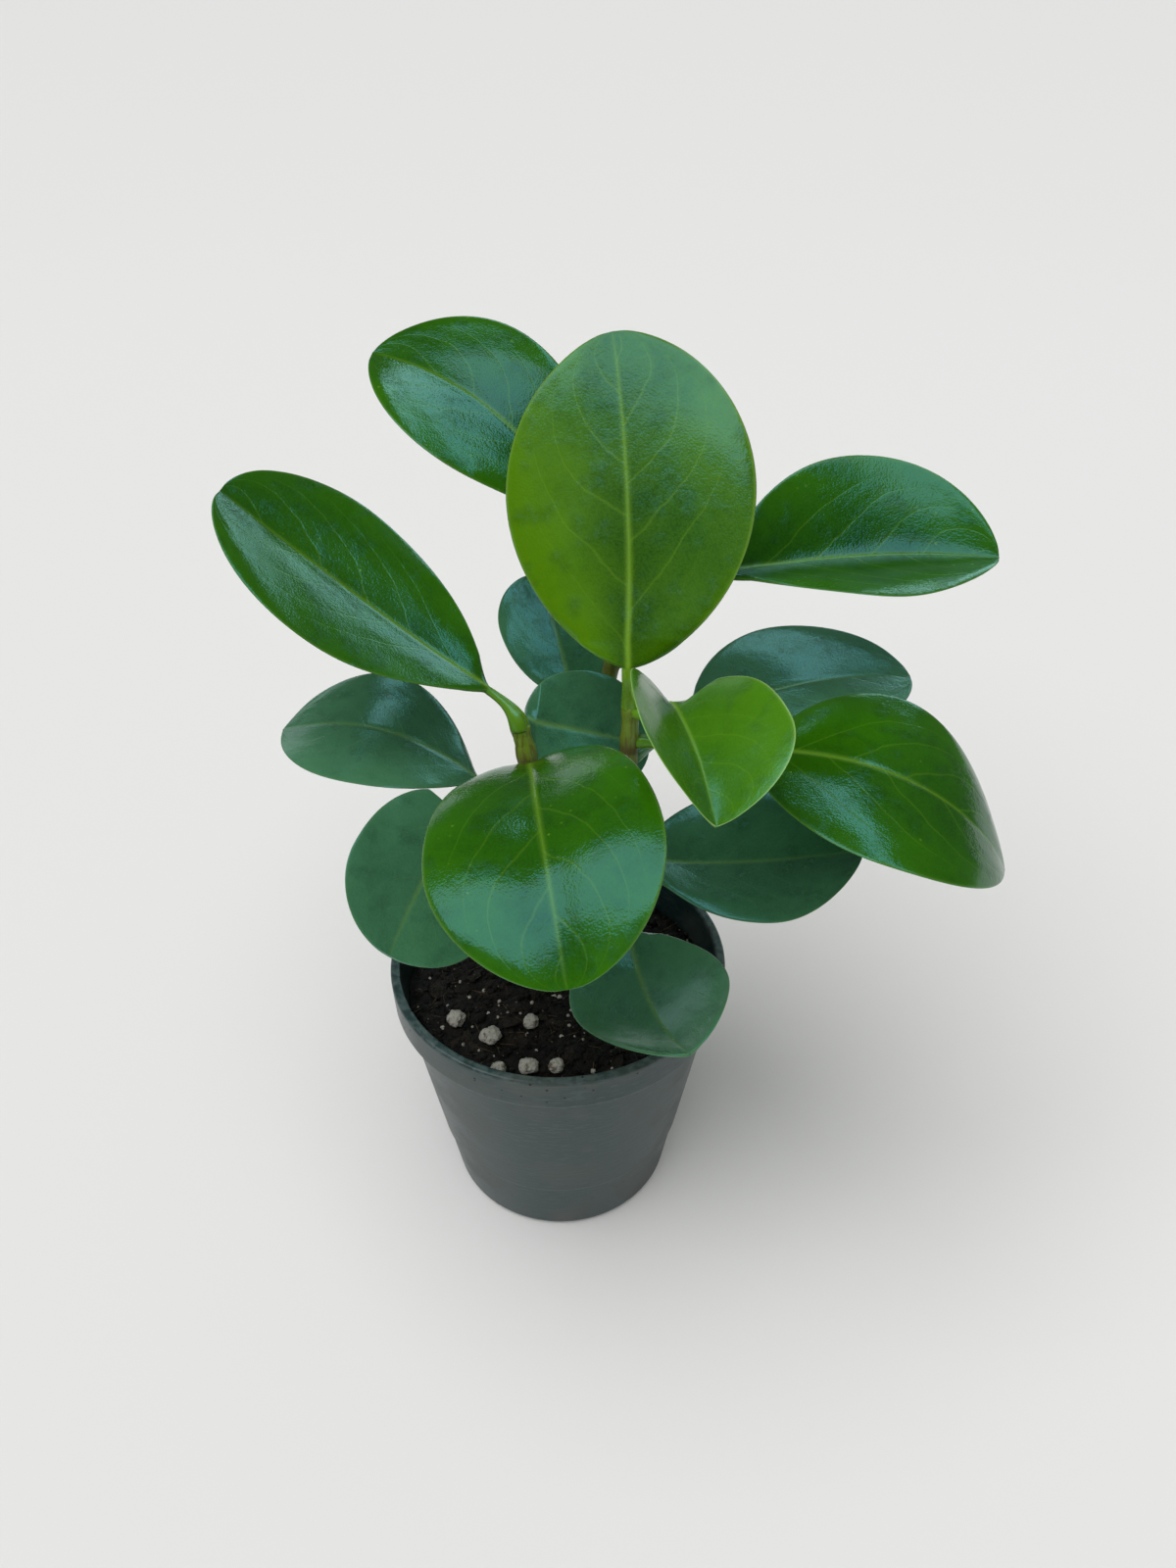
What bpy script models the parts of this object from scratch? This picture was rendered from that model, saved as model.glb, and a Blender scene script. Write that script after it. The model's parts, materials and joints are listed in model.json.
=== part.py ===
"""Potted peperomia: a young baby rubber plant in a round nursery pot.

The plant stands on three fleshy stems in potting mix. Each leaf, with its own
leaf stalk, is one solid. Sizes are in millimetres at the top of the script and
turned into metres where a mesh is made. The origin is the middle of the pot's
underside, +Z is up and -Y is the front of the plant.
"""
from dataclasses import dataclass
from math import cos, pi, radians, sin, sqrt

import bmesh
import bpy
from mathutils import Vector, noise

MM = 0.001                     # metres in a millimetre
CLEARANCE = 0.3                # gap between pieces that touch

# Pot: a standard 105 mm (4 inch) round nursery pot
POT_HEIGHT = 90.0
POT_RIM_RADIUS = 52.5
POT_MOUTH_RADIUS = 49.6
POT_BASE_RADIUS = 36.5
POT_WALL = 1.3
POT_FLOOR = 1.6
RIM_BAND_HEIGHT = 11.0
RIM_BAND_STEP = 1.6            # how far the band stands proud of the wall below it
RIM_BAND_TAPER = 0.5           # how much narrower the band is at its foot
RIM_BAND_UNDERCUT = 0.8        # height of the step under the band
RIM_ROUND_WIDTH = 0.8          # bevel on the rim's outer edge
RIM_ROUND_HEIGHT = 1.0
BORE_EASE = 4.0                # below the band, where the bore stops following the taper
BASE_CHAMFER = 2.0
INNER_BEVEL = 1.5              # bevel between the floor and the wall, inside
POT_STEPS = 48
DRAIN_HOLES = 6
DRAIN_RADIUS = 4.0
DRAIN_CIRCLE_RADIUS = 27.0
DRAIN_SIDES = 16
CUTTER_REACH = 2.0             # how far a drain cutter runs past the floor

# Potting mix
SOIL_LEVEL = 79.5
SOIL_MOUND = 2.0               # how much higher the mix stands around the stems
SOIL_MOUND_RADIUS = 24.0
SOIL_ROUGHNESS = 0.9
SOIL_LUMP_SPACING = 11.0
SOIL_RINGS = 9
SOIL_LUMP_SLICE = 4.0          # where the noise field is sliced for the lumps
SOIL_WALL_GAP = 1.5 * CLEARANCE
SOIL_FOOT_BEVEL = 2.0
STEM_DEPTH = 9.0               # how far a stem goes down into the mix
SOCKET_GAP = 2.5 * CLEARANCE
SOCKET_HEIGHT = 20.0           # how far a socket's cutter stands above the mix
SOCKET_SIDES = 20

# Perlite
GRAIN_FLATNESS = 0.75
GRAIN_KNOB = 0.16              # unevenness, as a share of the radius
GRAIN_KNOB_SCALE = 1.6
GRAIN_LIFT = 1.5 * CLEARANCE   # gap between a grain and the mix

# Stems
STEM_POINTS = 22
STEM_BEVEL_RESOLUTION = 3
NODE_SWELLING = 0.35
NODE_LENGTH = 3.0

# Leaves
RING_POINTS = 12               # points around a leaf's section
STALK_STATIONS = 6
BLADE_STATIONS = 14
BLADE_THICKNESS = 1.3
RIB_SHARE = 0.22               # share of the blade over which the stalk thins out
FOLD_SHARE = 0.08              # share of the blade over which its fold and roll set in
CREASE = 0.12                  # softness of the fold along the midrib
TIP_HALF_WIDTH = 0.6
STALK_LEAD = 0.4               # how far a stalk runs squarely out of the stem, as a share
STALK_TRAIL = 0.35             # how far it runs in line with the blade, as a share
STALK_FLARE = 0.1              # how much thicker a stalk is at its root, as a share
ROOT_GAP = 0.5                 # from the stem's skin to the middle of a stalk's end
TOP_GAP = 1.5 * CLEARANCE      # from a stem's top to the end of the stalk that goes on from it


@dataclass(frozen=True)
class Stem:
    """A stem: where its middle line passes, bottom to top, and its radius."""
    name: str
    path: tuple
    bottom_radius: float
    top_radius: float


@dataclass(frozen=True)
class Leaf:
    """A leaf. Angles are in degrees: heading is counter-clockwise from +X, and
    pitch is the rise of the blade at its base and tip_pitch at its tip."""
    name: str
    stem: str
    node_height: float         # height at which the stalk leaves the stem
    base: tuple                # where the blade begins
    heading: float
    turn: float                # change of heading from base to tip
    pitch: float
    tip_pitch: float
    roll: float                # right-hand side of the blade up
    length: float
    width: float
    fold: float                # rise of each half from the midrib
    cup: float = 0.0           # further rise of the margins, as a share
    widest: float = 0.55       # where along the blade it is widest
    base_taper: float = 0.7    # 0.5 is an ellipse, and more is more pointed
    tip_taper: float = 0.55
    stalk_radius: float = 1.4


@dataclass(frozen=True)
class Perlite:
    """A grain of perlite on the mix: its place and its radius."""
    x: float
    y: float
    radius: float


STEMS = (
    Stem("stem_left", ((-2, -5), (-3, -4.5, 110), (-6.7, -4, 162), (-9.2, -2.2, 177.5)), 3.3, 2.5),
    Stem("stem_middle", ((9, 0), (14, 0, 108), (20, 0, 158), (21, 0, 183)), 3.4, 2.3),
    Stem("stem_back", ((5, 18), (6, 24, 110), (11, 31, 148), (19, 42, 182)), 3.2, 2.4),
)

LEAVES = (
    Leaf("leaf_crown", "stem_middle", 183, (20, -2, 195), 87, 14, 60, 45, 14, 90, 67,
         4, -0.15, 0.52, 0.66, 0.61, 1.7),
    Leaf("leaf_right_upper", "stem_back", 174, (45, 24, 209), 22, -31, 2, -1, -21, 81, 64,
         33, -0.08, 0.55, 1.02, 0.72),
    Leaf("leaf_left_upper", "stem_back", 182, (7, 52, 212), 152, 9, 60, 4, 20, 80, 56,
         11, -0.03, 0.58, 0.99, 0.70),
    Leaf("leaf_young", "stem_middle", 181, (31, -11, 189), -79, -2, 17, -28, 10, 48, 58,
         49, -0.14, 0.61, 0.42, 0.66, 1.2),
    Leaf("leaf_right_lower", "stem_middle", 171, (54, -5, 169), -23, 18, 24, -63, -8, 84, 65,
         3, -0.07, 0.47, 0.77, 0.74),
    Leaf("leaf_right_back", "stem_middle", 164, (39.6, 21, 164.2), 14, -7, 19, -7, -7, 68, 54, 7,
         -0.02, 0.48, 0.76, 0.63),
    Leaf("leaf_right_low", "stem_middle", 116, (25.6, -4, 130.5), 7, -14, -10, 18, -4, 65, 58, 10,
         -0.01, 0.54, 0.64, 0.65),
    Leaf("leaf_front_low", "stem_middle", 106, (21, -20, 118), -83, 12, -9, 33, -7, 62, 44,
         15, 0.06, 0.52, 0.69, 0.66),
    Leaf("leaf_front", "stem_left", 164, (-6, -11, 169), -87, 10, 38, -46, -13, 86, 61,
         20, -0.23, 0.61, 0.83, 0.60, 1.6),
    Leaf("leaf_left", "stem_left", 177.5, (-18, 5, 184), 168, 6, 34, 42, 6, 86, 61, 13, -0.08,
         0.61, 0.91, 0.49, 1.15),
    Leaf("leaf_left_middle", "stem_left", 148, (-22.4, 5, 152.4), 177, -7, 52, -24, 4, 62, 51, 2,
         0.02, 0.57, 1.09, 0.74),
    Leaf("leaf_left_low", "stem_left", 143, (-25.4, -8, 153.7), 249, 6, -8, -16, 40, 52, 44, 11,
         0.01, 0.62, 0.45, 0.44),
    Leaf("leaf_back_upper", "stem_back", 152, (4, 41, 160), 105, 8, 45, 22, -4, 44, 37,
         10, -0.01, 0.51, 0.53, 0.64),
    Leaf("leaf_back_middle", "stem_left", 169, (-8.6, 12.5, 169), 8, 3, -16, -22, -42, 39, 37,
         6, -0.01, 0.52, 0.36, 0.54),
)

PERLITE = (
    Perlite(-31, -20, 2.6),
    Perlite(-20, -27, 2.8),
    Perlite(-8, -22, 2.3),
    Perlite(-17, -39, 2.0),
    Perlite(-8, -38, 2.5),
    Perlite(0, -38, 2.2),
    Perlite(29, -9, 2.4),
    Perlite(-30, 18, 2.2),
    Perlite(20, 30, 2.5),
)


def direction(heading, pitch):
    """Unit vector for a heading and a pitch in radians."""
    return Vector((cos(pitch) * cos(heading), cos(pitch) * sin(heading), sin(pitch)))


def catmull(points, share):
    """Point at a share, 0 to 1, of a smooth curve through the points."""
    spans = len(points) - 1
    at = min(share * spans, spans - 1e-9)
    i = int(at)
    t = at - i
    p1, p2 = points[i], points[i + 1]
    p0 = points[i - 1] if i else p1 * 2 - p2
    p3 = points[i + 2] if i + 2 < len(points) else p2 * 2 - p1
    return 0.5 * (p1 * 2 + (p2 - p0) * t + (p0 * 2 - p1 * 5 + p2 * 4 - p3) * t * t
                  + (p1 * 3 - p0 - p2 * 3 + p3) * t * t * t)


# ---------------------------------------------------------------- potting mix height

def soil_height(x, y):
    """Height of the mix's top at a place: a low mound around the stems, with lumps."""
    reach = sqrt(x * x + y * y) / SOIL_MOUND_RADIUS
    lumps = noise.noise(Vector((x, y, SOIL_LUMP_SLICE)) / SOIL_LUMP_SPACING)
    return SOIL_LEVEL + SOIL_MOUND / (1 + reach ** 4) + SOIL_ROUGHNESS * lumps


# ---------------------------------------------------------------- stem lines

def stem_points(stem):
    """The stem's control points. It stands upright in the mix and leans above it."""
    foot_x, foot_y = stem.path[0]
    foot = Vector((foot_x, foot_y, SOIL_LEVEL - STEM_DEPTH + CLEARANCE))
    collar = Vector((foot_x, foot_y, SOIL_LEVEL + SOIL_MOUND))
    return [foot, collar] + [Vector(p) for p in stem.path[1:]]


def stem_at_height(stem, height):
    """Share along the stem, and its middle point, at a height."""
    points = stem_points(stem)
    low, high = 0.0, 1.0
    for _ in range(30):
        share = (low + high) / 2
        if catmull(points, share).z < height:
            low = share
        else:
            high = share
    return share, catmull(points, share)


def stem_direction(stem, share):
    """Unit vector along the stem at a share of its length."""
    step = 0.01
    points = stem_points(stem)
    ahead = catmull(points, min(share + step, 1.0))
    return (ahead - catmull(points, max(share - step, 0.0))).normalized()


def node_heights(stem):
    """Heights of the swollen nodes, where leaves leave the stem."""
    return [leaf.node_height for leaf in LEAVES if leaf.stem == stem.name]


def stem_radius(stem, share, height):
    """Radius of the stem at a share of its length, with the swelling at its nodes."""
    plain = stem.bottom_radius + (stem.top_radius - stem.bottom_radius) * share
    swell = max(max(0.0, 1 - ((height - node) / NODE_LENGTH) ** 2) for node in node_heights(stem))
    return plain + NODE_SWELLING * swell


# ---------------------------------------------------------------- Blender helpers

def clear_scene():
    """Remove every object."""
    for old in list(bpy.data.objects):
        bpy.data.objects.remove(old, do_unlink=True)


def make_collection(name):
    """A new collection in the scene."""
    made = bpy.data.collections.new(name)
    bpy.context.scene.collection.children.link(made)
    return made


def make_material(name, colour, roughness, metallic=0.0):
    """A Principled material of one colour."""
    made = bpy.data.materials.new(name)
    made.use_nodes = True
    shader = made.node_tree.nodes["Principled BSDF"]
    shader.inputs["Base Color"].default_value = (*colour, 1.0)
    shader.inputs["Roughness"].default_value = roughness
    shader.inputs["Metallic"].default_value = metallic
    made.diffuse_color = (*colour, 1.0)
    return made


def add_object(name, data, collection, material=None):
    """An object for a mesh or a curve, in a collection and with a material."""
    made = bpy.data.objects.new(name, data)
    collection.objects.link(made)
    if material:
        data.materials.append(material)
    return made


def evaluated_mesh(source):
    """The mesh of an object with its modifiers applied and its doubles merged."""
    graph = bpy.context.evaluated_depsgraph_get()
    mesh = bpy.data.meshes.new_from_object(source.evaluated_get(graph))
    shape = bmesh.new()
    shape.from_mesh(mesh)
    bmesh.ops.remove_doubles(shape, verts=shape.verts, dist=0.00001)
    shape.to_mesh(mesh)
    shape.free()
    return mesh


def turned(name, profile, steps, collection, material):
    """A turned solid from a profile of (radius, height) pairs, outer side downwards."""
    mesh = bpy.data.meshes.new(name)
    shape = bmesh.new()
    corners = [shape.verts.new((r * MM, 0, z * MM)) for r, z in profile]
    for a, b in zip(corners[:-1], corners[1:]):
        shape.edges.new((a, b))
    shape.to_mesh(mesh)
    shape.free()
    made = add_object(name, mesh, collection, material)
    screw = made.modifiers.new("turn", "SCREW")
    screw.steps = steps
    screw.render_steps = steps
    screw.use_merge_vertices = True
    screw.merge_threshold = 0.00001
    return made


def cylinder_cutter(name, x, y, low, high, radius, sides, collection):
    """An upright cylinder that only cuts."""
    mesh = bpy.data.meshes.new(name)
    shape = bmesh.new()
    bmesh.ops.create_cone(shape, cap_ends=True, segments=sides, radius1=radius * MM,
                          radius2=radius * MM, depth=(high - low) * MM)
    shape.to_mesh(mesh)
    shape.free()
    made = add_object(name, mesh, collection)
    made.location = (x * MM, y * MM, (low + high) / 2 * MM)
    made.hide_render = True
    made.display_type = "WIRE"
    return made


def cut(target, cutter):
    """Cut one object with another by a Boolean modifier."""
    boolean = target.modifiers.new(cutter.name, "BOOLEAN")
    boolean.operation = "DIFFERENCE"
    boolean.object = cutter


# ---------------------------------------------------------------- pot and mix

def wall_radius(height):
    """Outer radius of the pot's tapered wall at a height, below the rim band."""
    top_radius = POT_RIM_RADIUS - RIM_BAND_STEP
    return POT_BASE_RADIUS + (top_radius - POT_BASE_RADIUS) * height / POT_HEIGHT


def bore_radius(height):
    """Inner radius of the pot at a height."""
    return min(wall_radius(height) - POT_WALL, POT_MOUTH_RADIUS)


def make_pot(collection, cutters, material):
    """The nursery pot: tapered wall, stepped rim band, flat floor with drain holes."""
    band_low = POT_HEIGHT - RIM_BAND_HEIGHT
    profile = [
        (POT_MOUTH_RADIUS, POT_HEIGHT),
        (POT_RIM_RADIUS - RIM_ROUND_WIDTH, POT_HEIGHT),
        (POT_RIM_RADIUS, POT_HEIGHT - RIM_ROUND_HEIGHT),
        (POT_RIM_RADIUS - RIM_BAND_TAPER, band_low),
        (wall_radius(band_low), band_low - RIM_BAND_UNDERCUT),
        (wall_radius(BASE_CHAMFER), BASE_CHAMFER),
        (POT_BASE_RADIUS - BASE_CHAMFER, 0),
        (0, 0),
    ]
    inside = [
        (0, POT_FLOOR),
        (bore_radius(POT_FLOOR) - INNER_BEVEL, POT_FLOOR),
        (bore_radius(POT_FLOOR + INNER_BEVEL), POT_FLOOR + INNER_BEVEL),
        (bore_radius(band_low - BORE_EASE), band_low - BORE_EASE),
        (POT_MOUTH_RADIUS, POT_HEIGHT),
    ]
    pot = turned("pot", profile + inside, POT_STEPS, collection, material)
    for i in range(DRAIN_HOLES):
        angle = 2 * pi * (i + 0.5) / DRAIN_HOLES
        hole = cylinder_cutter(f"drain_{i}", DRAIN_CIRCLE_RADIUS * cos(angle),
                               DRAIN_CIRCLE_RADIUS * sin(angle), -CUTTER_REACH,
                               POT_FLOOR + CUTTER_REACH, DRAIN_RADIUS, DRAIN_SIDES, cutters)
        cut(pot, hole)
    return pot


def make_soil(collection, cutters, material):
    """The mix: it fills the pot, with an uneven top and a socket for each stem."""
    low = POT_FLOOR + CLEARANCE
    edge = bore_radius(SOIL_LEVEL) - SOIL_WALL_GAP
    top = [(edge * i / SOIL_RINGS, SOIL_LEVEL) for i in range(SOIL_RINGS + 1)]
    side = [
        (bore_radius(POT_FLOOR + INNER_BEVEL) - SOIL_WALL_GAP, low + SOIL_FOOT_BEVEL),
        (bore_radius(POT_FLOOR) - SOIL_WALL_GAP - SOIL_FOOT_BEVEL, low),
        (0, low),
    ]
    body = turned("soil_blank", top + side, POT_STEPS, collection, None)
    mesh = evaluated_mesh(body)
    bpy.data.objects.remove(body)
    for vertex in mesh.vertices:
        if vertex.co.z > (SOIL_LEVEL - 1) * MM:
            vertex.co.z = soil_height(vertex.co.x / MM, vertex.co.y / MM) * MM
    soil = add_object("soil", mesh, collection, material)
    for stem in STEMS:
        x, y = stem.path[0]
        socket = cylinder_cutter(f"socket_{stem.name}", x, y, SOIL_LEVEL - STEM_DEPTH,
                                 SOIL_LEVEL + SOCKET_HEIGHT, stem.bottom_radius + SOCKET_GAP,
                                 SOCKET_SIDES, cutters)
        cut(soil, socket)
    return soil


def make_perlite(number, grain, collection, material):
    """One rounded, slightly flattened grain that lies on the mix."""
    name = f"perlite_{number}"
    mesh = bpy.data.meshes.new(name)
    shape = bmesh.new()
    bmesh.ops.create_icosphere(shape, subdivisions=2, radius=grain.radius * MM)
    for vertex in shape.verts:
        way = vertex.co / (grain.radius * MM)
        vertex.co *= 1 + GRAIN_KNOB * noise.noise(way * GRAIN_KNOB_SCALE + Vector((number, 0, 0)))
        vertex.co.z *= GRAIN_FLATNESS
    shape.to_mesh(mesh)
    shape.free()
    made = add_object(name, mesh, collection, material)
    lowest = min(vertex.co.z for vertex in mesh.vertices) / MM
    height = soil_height(grain.x, grain.y) + GRAIN_LIFT - lowest
    made.location = (grain.x * MM, grain.y * MM, height * MM)
    return made


# ---------------------------------------------------------------- plant

def make_stem(stem, collection, material):
    """A stem: a round, tapered tube along its line, thicker at its nodes."""
    points = stem_points(stem)
    curve = bpy.data.curves.new(stem.name, "CURVE")
    curve.dimensions = "3D"
    curve.bevel_depth = MM
    curve.bevel_resolution = STEM_BEVEL_RESOLUTION
    curve.use_fill_caps = True
    spline = curve.splines.new("POLY")
    spline.points.add(STEM_POINTS - 1)
    for i, point in enumerate(spline.points):
        share = i / (STEM_POINTS - 1)
        place = catmull(points, share)
        point.co = (*(place * MM), 1.0)
        point.radius = stem_radius(stem, share, place.z)
    return add_object(stem.name, curve, collection, material)


def half_width(leaf, share):
    """Half the blade's width at a share of its length, with its own taper at each end."""
    if share < leaf.widest:
        return leaf.width / 2 * (1 - (1 - share / leaf.widest) ** 2) ** leaf.base_taper
    beyond = (share - leaf.widest) / (1 - leaf.widest)
    return leaf.width / 2 * max(1 - beyond ** 2, 0) ** leaf.tip_taper


def stalk_line(leaf, stem):
    """Middle points of the leaf stalk and its directions there, from the stem's skin
    to the blade. The stalk leaves the stem squarely and bends over into the blade."""
    base = Vector(leaf.base)
    stem_top = stem.path[-1][2]
    share, middle = stem_at_height(stem, min(leaf.node_height, stem_top))
    along = stem_direction(stem, share)
    if leaf.node_height >= stem_top:
        out = along
        root = middle + out * TOP_GAP
    else:
        toward = base - middle
        out = (toward - along * toward.dot(along)).normalized()
        root = middle + out * (stem_radius(stem, share, middle.z) + ROOT_GAP)
    reach = (base - root).length
    first = root + out * reach * STALK_LEAD
    last = base - direction(radians(leaf.heading), radians(leaf.pitch)) * reach * STALK_TRAIL
    line = []
    for i in range(STALK_STATIONS):
        t = i / STALK_STATIONS
        point = (root * (1 - t) ** 3 + first * 3 * t * (1 - t) ** 2
                 + last * 3 * t * t * (1 - t) + base * t ** 3)
        along = ((first - root) * (1 - t) ** 2 + (last - first) * 2 * t * (1 - t)
                 + (base - last) * t * t)
        line.append((point, along.normalized()))
    return line


def blade_points(leaf, shares):
    """Middle points of the blade at shares of its length, along its bend and turn."""
    substeps = 12
    place = Vector(leaf.base)
    points = [place.copy()]
    for low, high in zip(shares[:-1], shares[1:]):
        for k in range(substeps):
            share = low + (high - low) * (k + 0.5) / substeps
            place += direction(*blade_angles(leaf, share)) * leaf.length * (high - low) / substeps
        points.append(place.copy())
    return points


def blade_angles(leaf, share):
    """Heading and pitch of the midrib, in radians, at a share of the blade."""
    return (radians(leaf.heading + leaf.turn * share),
            radians(leaf.pitch + (leaf.tip_pitch - leaf.pitch) * share))


def section(middle, side, up, half, thick, fold, cup):
    """Points around a lens-shaped section, creased along its middle."""
    points = []
    for k in range(RING_POINTS):
        angle = 2 * pi * k / RING_POINTS
        across = cos(angle)
        crease = sqrt(across * across + CREASE * CREASE) - CREASE
        lift = half * crease * sin(fold) + cup * across * across
        points.append(middle + side * half * across * cos(fold) + up * (lift + thick * sin(angle)))
    return points


def leaf_rings(leaf):
    """Rings of points from the stalk's end to the blade's tip."""
    stem = next(s for s in STEMS if s.name == leaf.stem)
    shares = [(1 - cos(pi * i / BLADE_STATIONS)) / 2 for i in range(BLADE_STATIONS + 1)]
    blade = blade_points(leaf, shares)
    roll = radians(leaf.roll)
    rings = []
    across = Vector((sin(radians(leaf.heading)), -cos(radians(leaf.heading)), 0))
    for i, (middle, along) in enumerate(stalk_line(leaf, stem)):
        side = (across - along * across.dot(along)).normalized()
        up = side.cross(along)
        radius = leaf.stalk_radius * (1 + STALK_FLARE * (1 - i / STALK_STATIONS))
        rings.append(section(middle, side, up, radius, radius, 0, 0))
    for share, middle in zip(shares, blade):
        heading, pitch = blade_angles(leaf, share)
        flat_side = Vector((sin(heading), -cos(heading), 0))
        flat_up = flat_side.cross(direction(heading, pitch))
        ease = min(share / RIB_SHARE, 1)
        bend = min(share / FOLD_SHARE, 1)
        lean = roll * bend
        side = flat_side * cos(lean) + flat_up * sin(lean)
        up = flat_up * cos(lean) - flat_side * sin(lean)
        wide = half_width(leaf, share)
        half = max(sqrt(wide ** 2 + (leaf.stalk_radius * (1 - ease)) ** 2), TIP_HALF_WIDTH)
        thick = leaf.stalk_radius + (BLADE_THICKNESS / 2 - leaf.stalk_radius) * ease
        cup = leaf.cup * wide * wide / (leaf.width / 2)
        rings.append(section(middle, side, up, half, thick, radians(leaf.fold) * bend, cup))
    return rings


def make_leaf(leaf, collection, material):
    """A leaf: one loft from the round stalk to the thin, creased blade."""
    mesh = bpy.data.meshes.new(leaf.name)
    shape = bmesh.new()
    loops = [[shape.verts.new(point * MM) for point in ring] for ring in leaf_rings(leaf)]
    for low, high in zip(loops[:-1], loops[1:]):
        for k in range(RING_POINTS):
            n = (k + 1) % RING_POINTS
            shape.faces.new((low[k], low[n], high[n], high[k]))
    shape.faces.new(loops[0])
    shape.faces.new(loops[-1])
    bmesh.ops.recalc_face_normals(shape, faces=shape.faces)
    for face in shape.faces:
        face.smooth = True
    shape.to_mesh(mesh)
    shape.free()
    return add_object(leaf.name, mesh, collection, material)


# ---------------------------------------------------------------- assembly

def main():
    """Build the pot, the mix and the plant."""
    clear_scene()
    plant = make_collection("potted_peperomia")
    cutters = make_collection("cutters")
    pot_plastic = make_material("pot_plastic", (0.012, 0.045, 0.040), 0.35)
    potting_mix = make_material("potting_mix", (0.012, 0.010, 0.009), 0.95)
    perlite = make_material("perlite", (0.55, 0.54, 0.50), 0.9)
    stem_skin = make_material("stem_skin", (0.16, 0.13, 0.02), 0.45)
    leaf_skin = make_material("leaf_skin", (0.045, 0.16, 0.012), 0.28)

    make_pot(plant, cutters, pot_plastic)
    make_soil(plant, cutters, potting_mix)
    for number, grain in enumerate(PERLITE, 1):
        make_perlite(number, grain, plant, perlite)
    for stem in STEMS:
        make_stem(stem, plant, stem_skin)
    for leaf in LEAVES:
        make_leaf(leaf, plant, leaf_skin)


main()
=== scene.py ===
"""Looks of a potted peperomia, a baby rubber plant in a round nursery pot.

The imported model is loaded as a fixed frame. Every solid in it is then replaced by a finer
mesh with its own finish: glossy, creased leaf blades on round stalks, fleshy stems with
swollen nodes, crumbly potting mix with bark, fibres and perlite, and a moulded plastic pot.
Lengths are millimetres in the classes and metres in the meshes. +Z is up and -Y is the front.
"""

import json
import logging
import math
from dataclasses import dataclass
from enum import Enum
from typing import Any, Iterable, Optional, Sequence

import bmesh
import bpy
import numpy as np
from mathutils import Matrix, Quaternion, Vector, noise

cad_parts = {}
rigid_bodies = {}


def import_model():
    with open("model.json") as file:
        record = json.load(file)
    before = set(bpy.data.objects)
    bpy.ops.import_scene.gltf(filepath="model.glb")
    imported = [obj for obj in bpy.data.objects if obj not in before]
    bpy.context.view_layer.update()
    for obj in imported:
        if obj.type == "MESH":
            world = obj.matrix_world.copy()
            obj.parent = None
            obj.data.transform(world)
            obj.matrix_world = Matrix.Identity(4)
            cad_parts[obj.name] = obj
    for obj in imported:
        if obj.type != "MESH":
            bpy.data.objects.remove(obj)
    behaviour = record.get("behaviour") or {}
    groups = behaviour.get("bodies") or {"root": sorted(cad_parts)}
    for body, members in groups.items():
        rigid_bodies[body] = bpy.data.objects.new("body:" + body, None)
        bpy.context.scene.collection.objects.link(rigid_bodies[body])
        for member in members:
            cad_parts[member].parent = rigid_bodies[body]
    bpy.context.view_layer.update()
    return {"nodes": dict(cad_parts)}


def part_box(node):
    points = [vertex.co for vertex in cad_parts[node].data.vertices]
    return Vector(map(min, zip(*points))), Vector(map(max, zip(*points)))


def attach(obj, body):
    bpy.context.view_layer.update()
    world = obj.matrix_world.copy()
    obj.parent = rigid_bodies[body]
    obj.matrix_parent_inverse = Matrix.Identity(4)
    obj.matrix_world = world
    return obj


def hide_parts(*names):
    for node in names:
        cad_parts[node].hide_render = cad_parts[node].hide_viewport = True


MM = 0.001
PER_SQUARE_METRE = 10000.0
DOUBLES_WITHIN = 0.002 * MM
ROOT_BODY = "root"
LOG = logging.getLogger("potted_peperomia")

Colour = tuple[float, float, float]
Point = tuple[float, float, float]
Socket = bpy.types.NodeSocket
NUMBER_SOCKETS = {int: "Int", float: "Float"}


class LeafAge(Enum):
    """How old a leaf is, which sets its colour and its gloss. The back leaves' finish has painted sheen and
    painted light in its colour.
    """

    YOUNG = "young"
    BRIGHT = "bright"
    MATURE = "mature"
    SHADED = "shaded"


class Slot(Enum):
    """The record's material slots."""

    POT = "pot_plastic"
    MIX = "potting_mix"
    STEM = "stem_skin"
    LEAF = "leaf_skin"
    PERLITE = "perlite"


# ------------------------------------------------------------------ node-tree helpers

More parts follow.
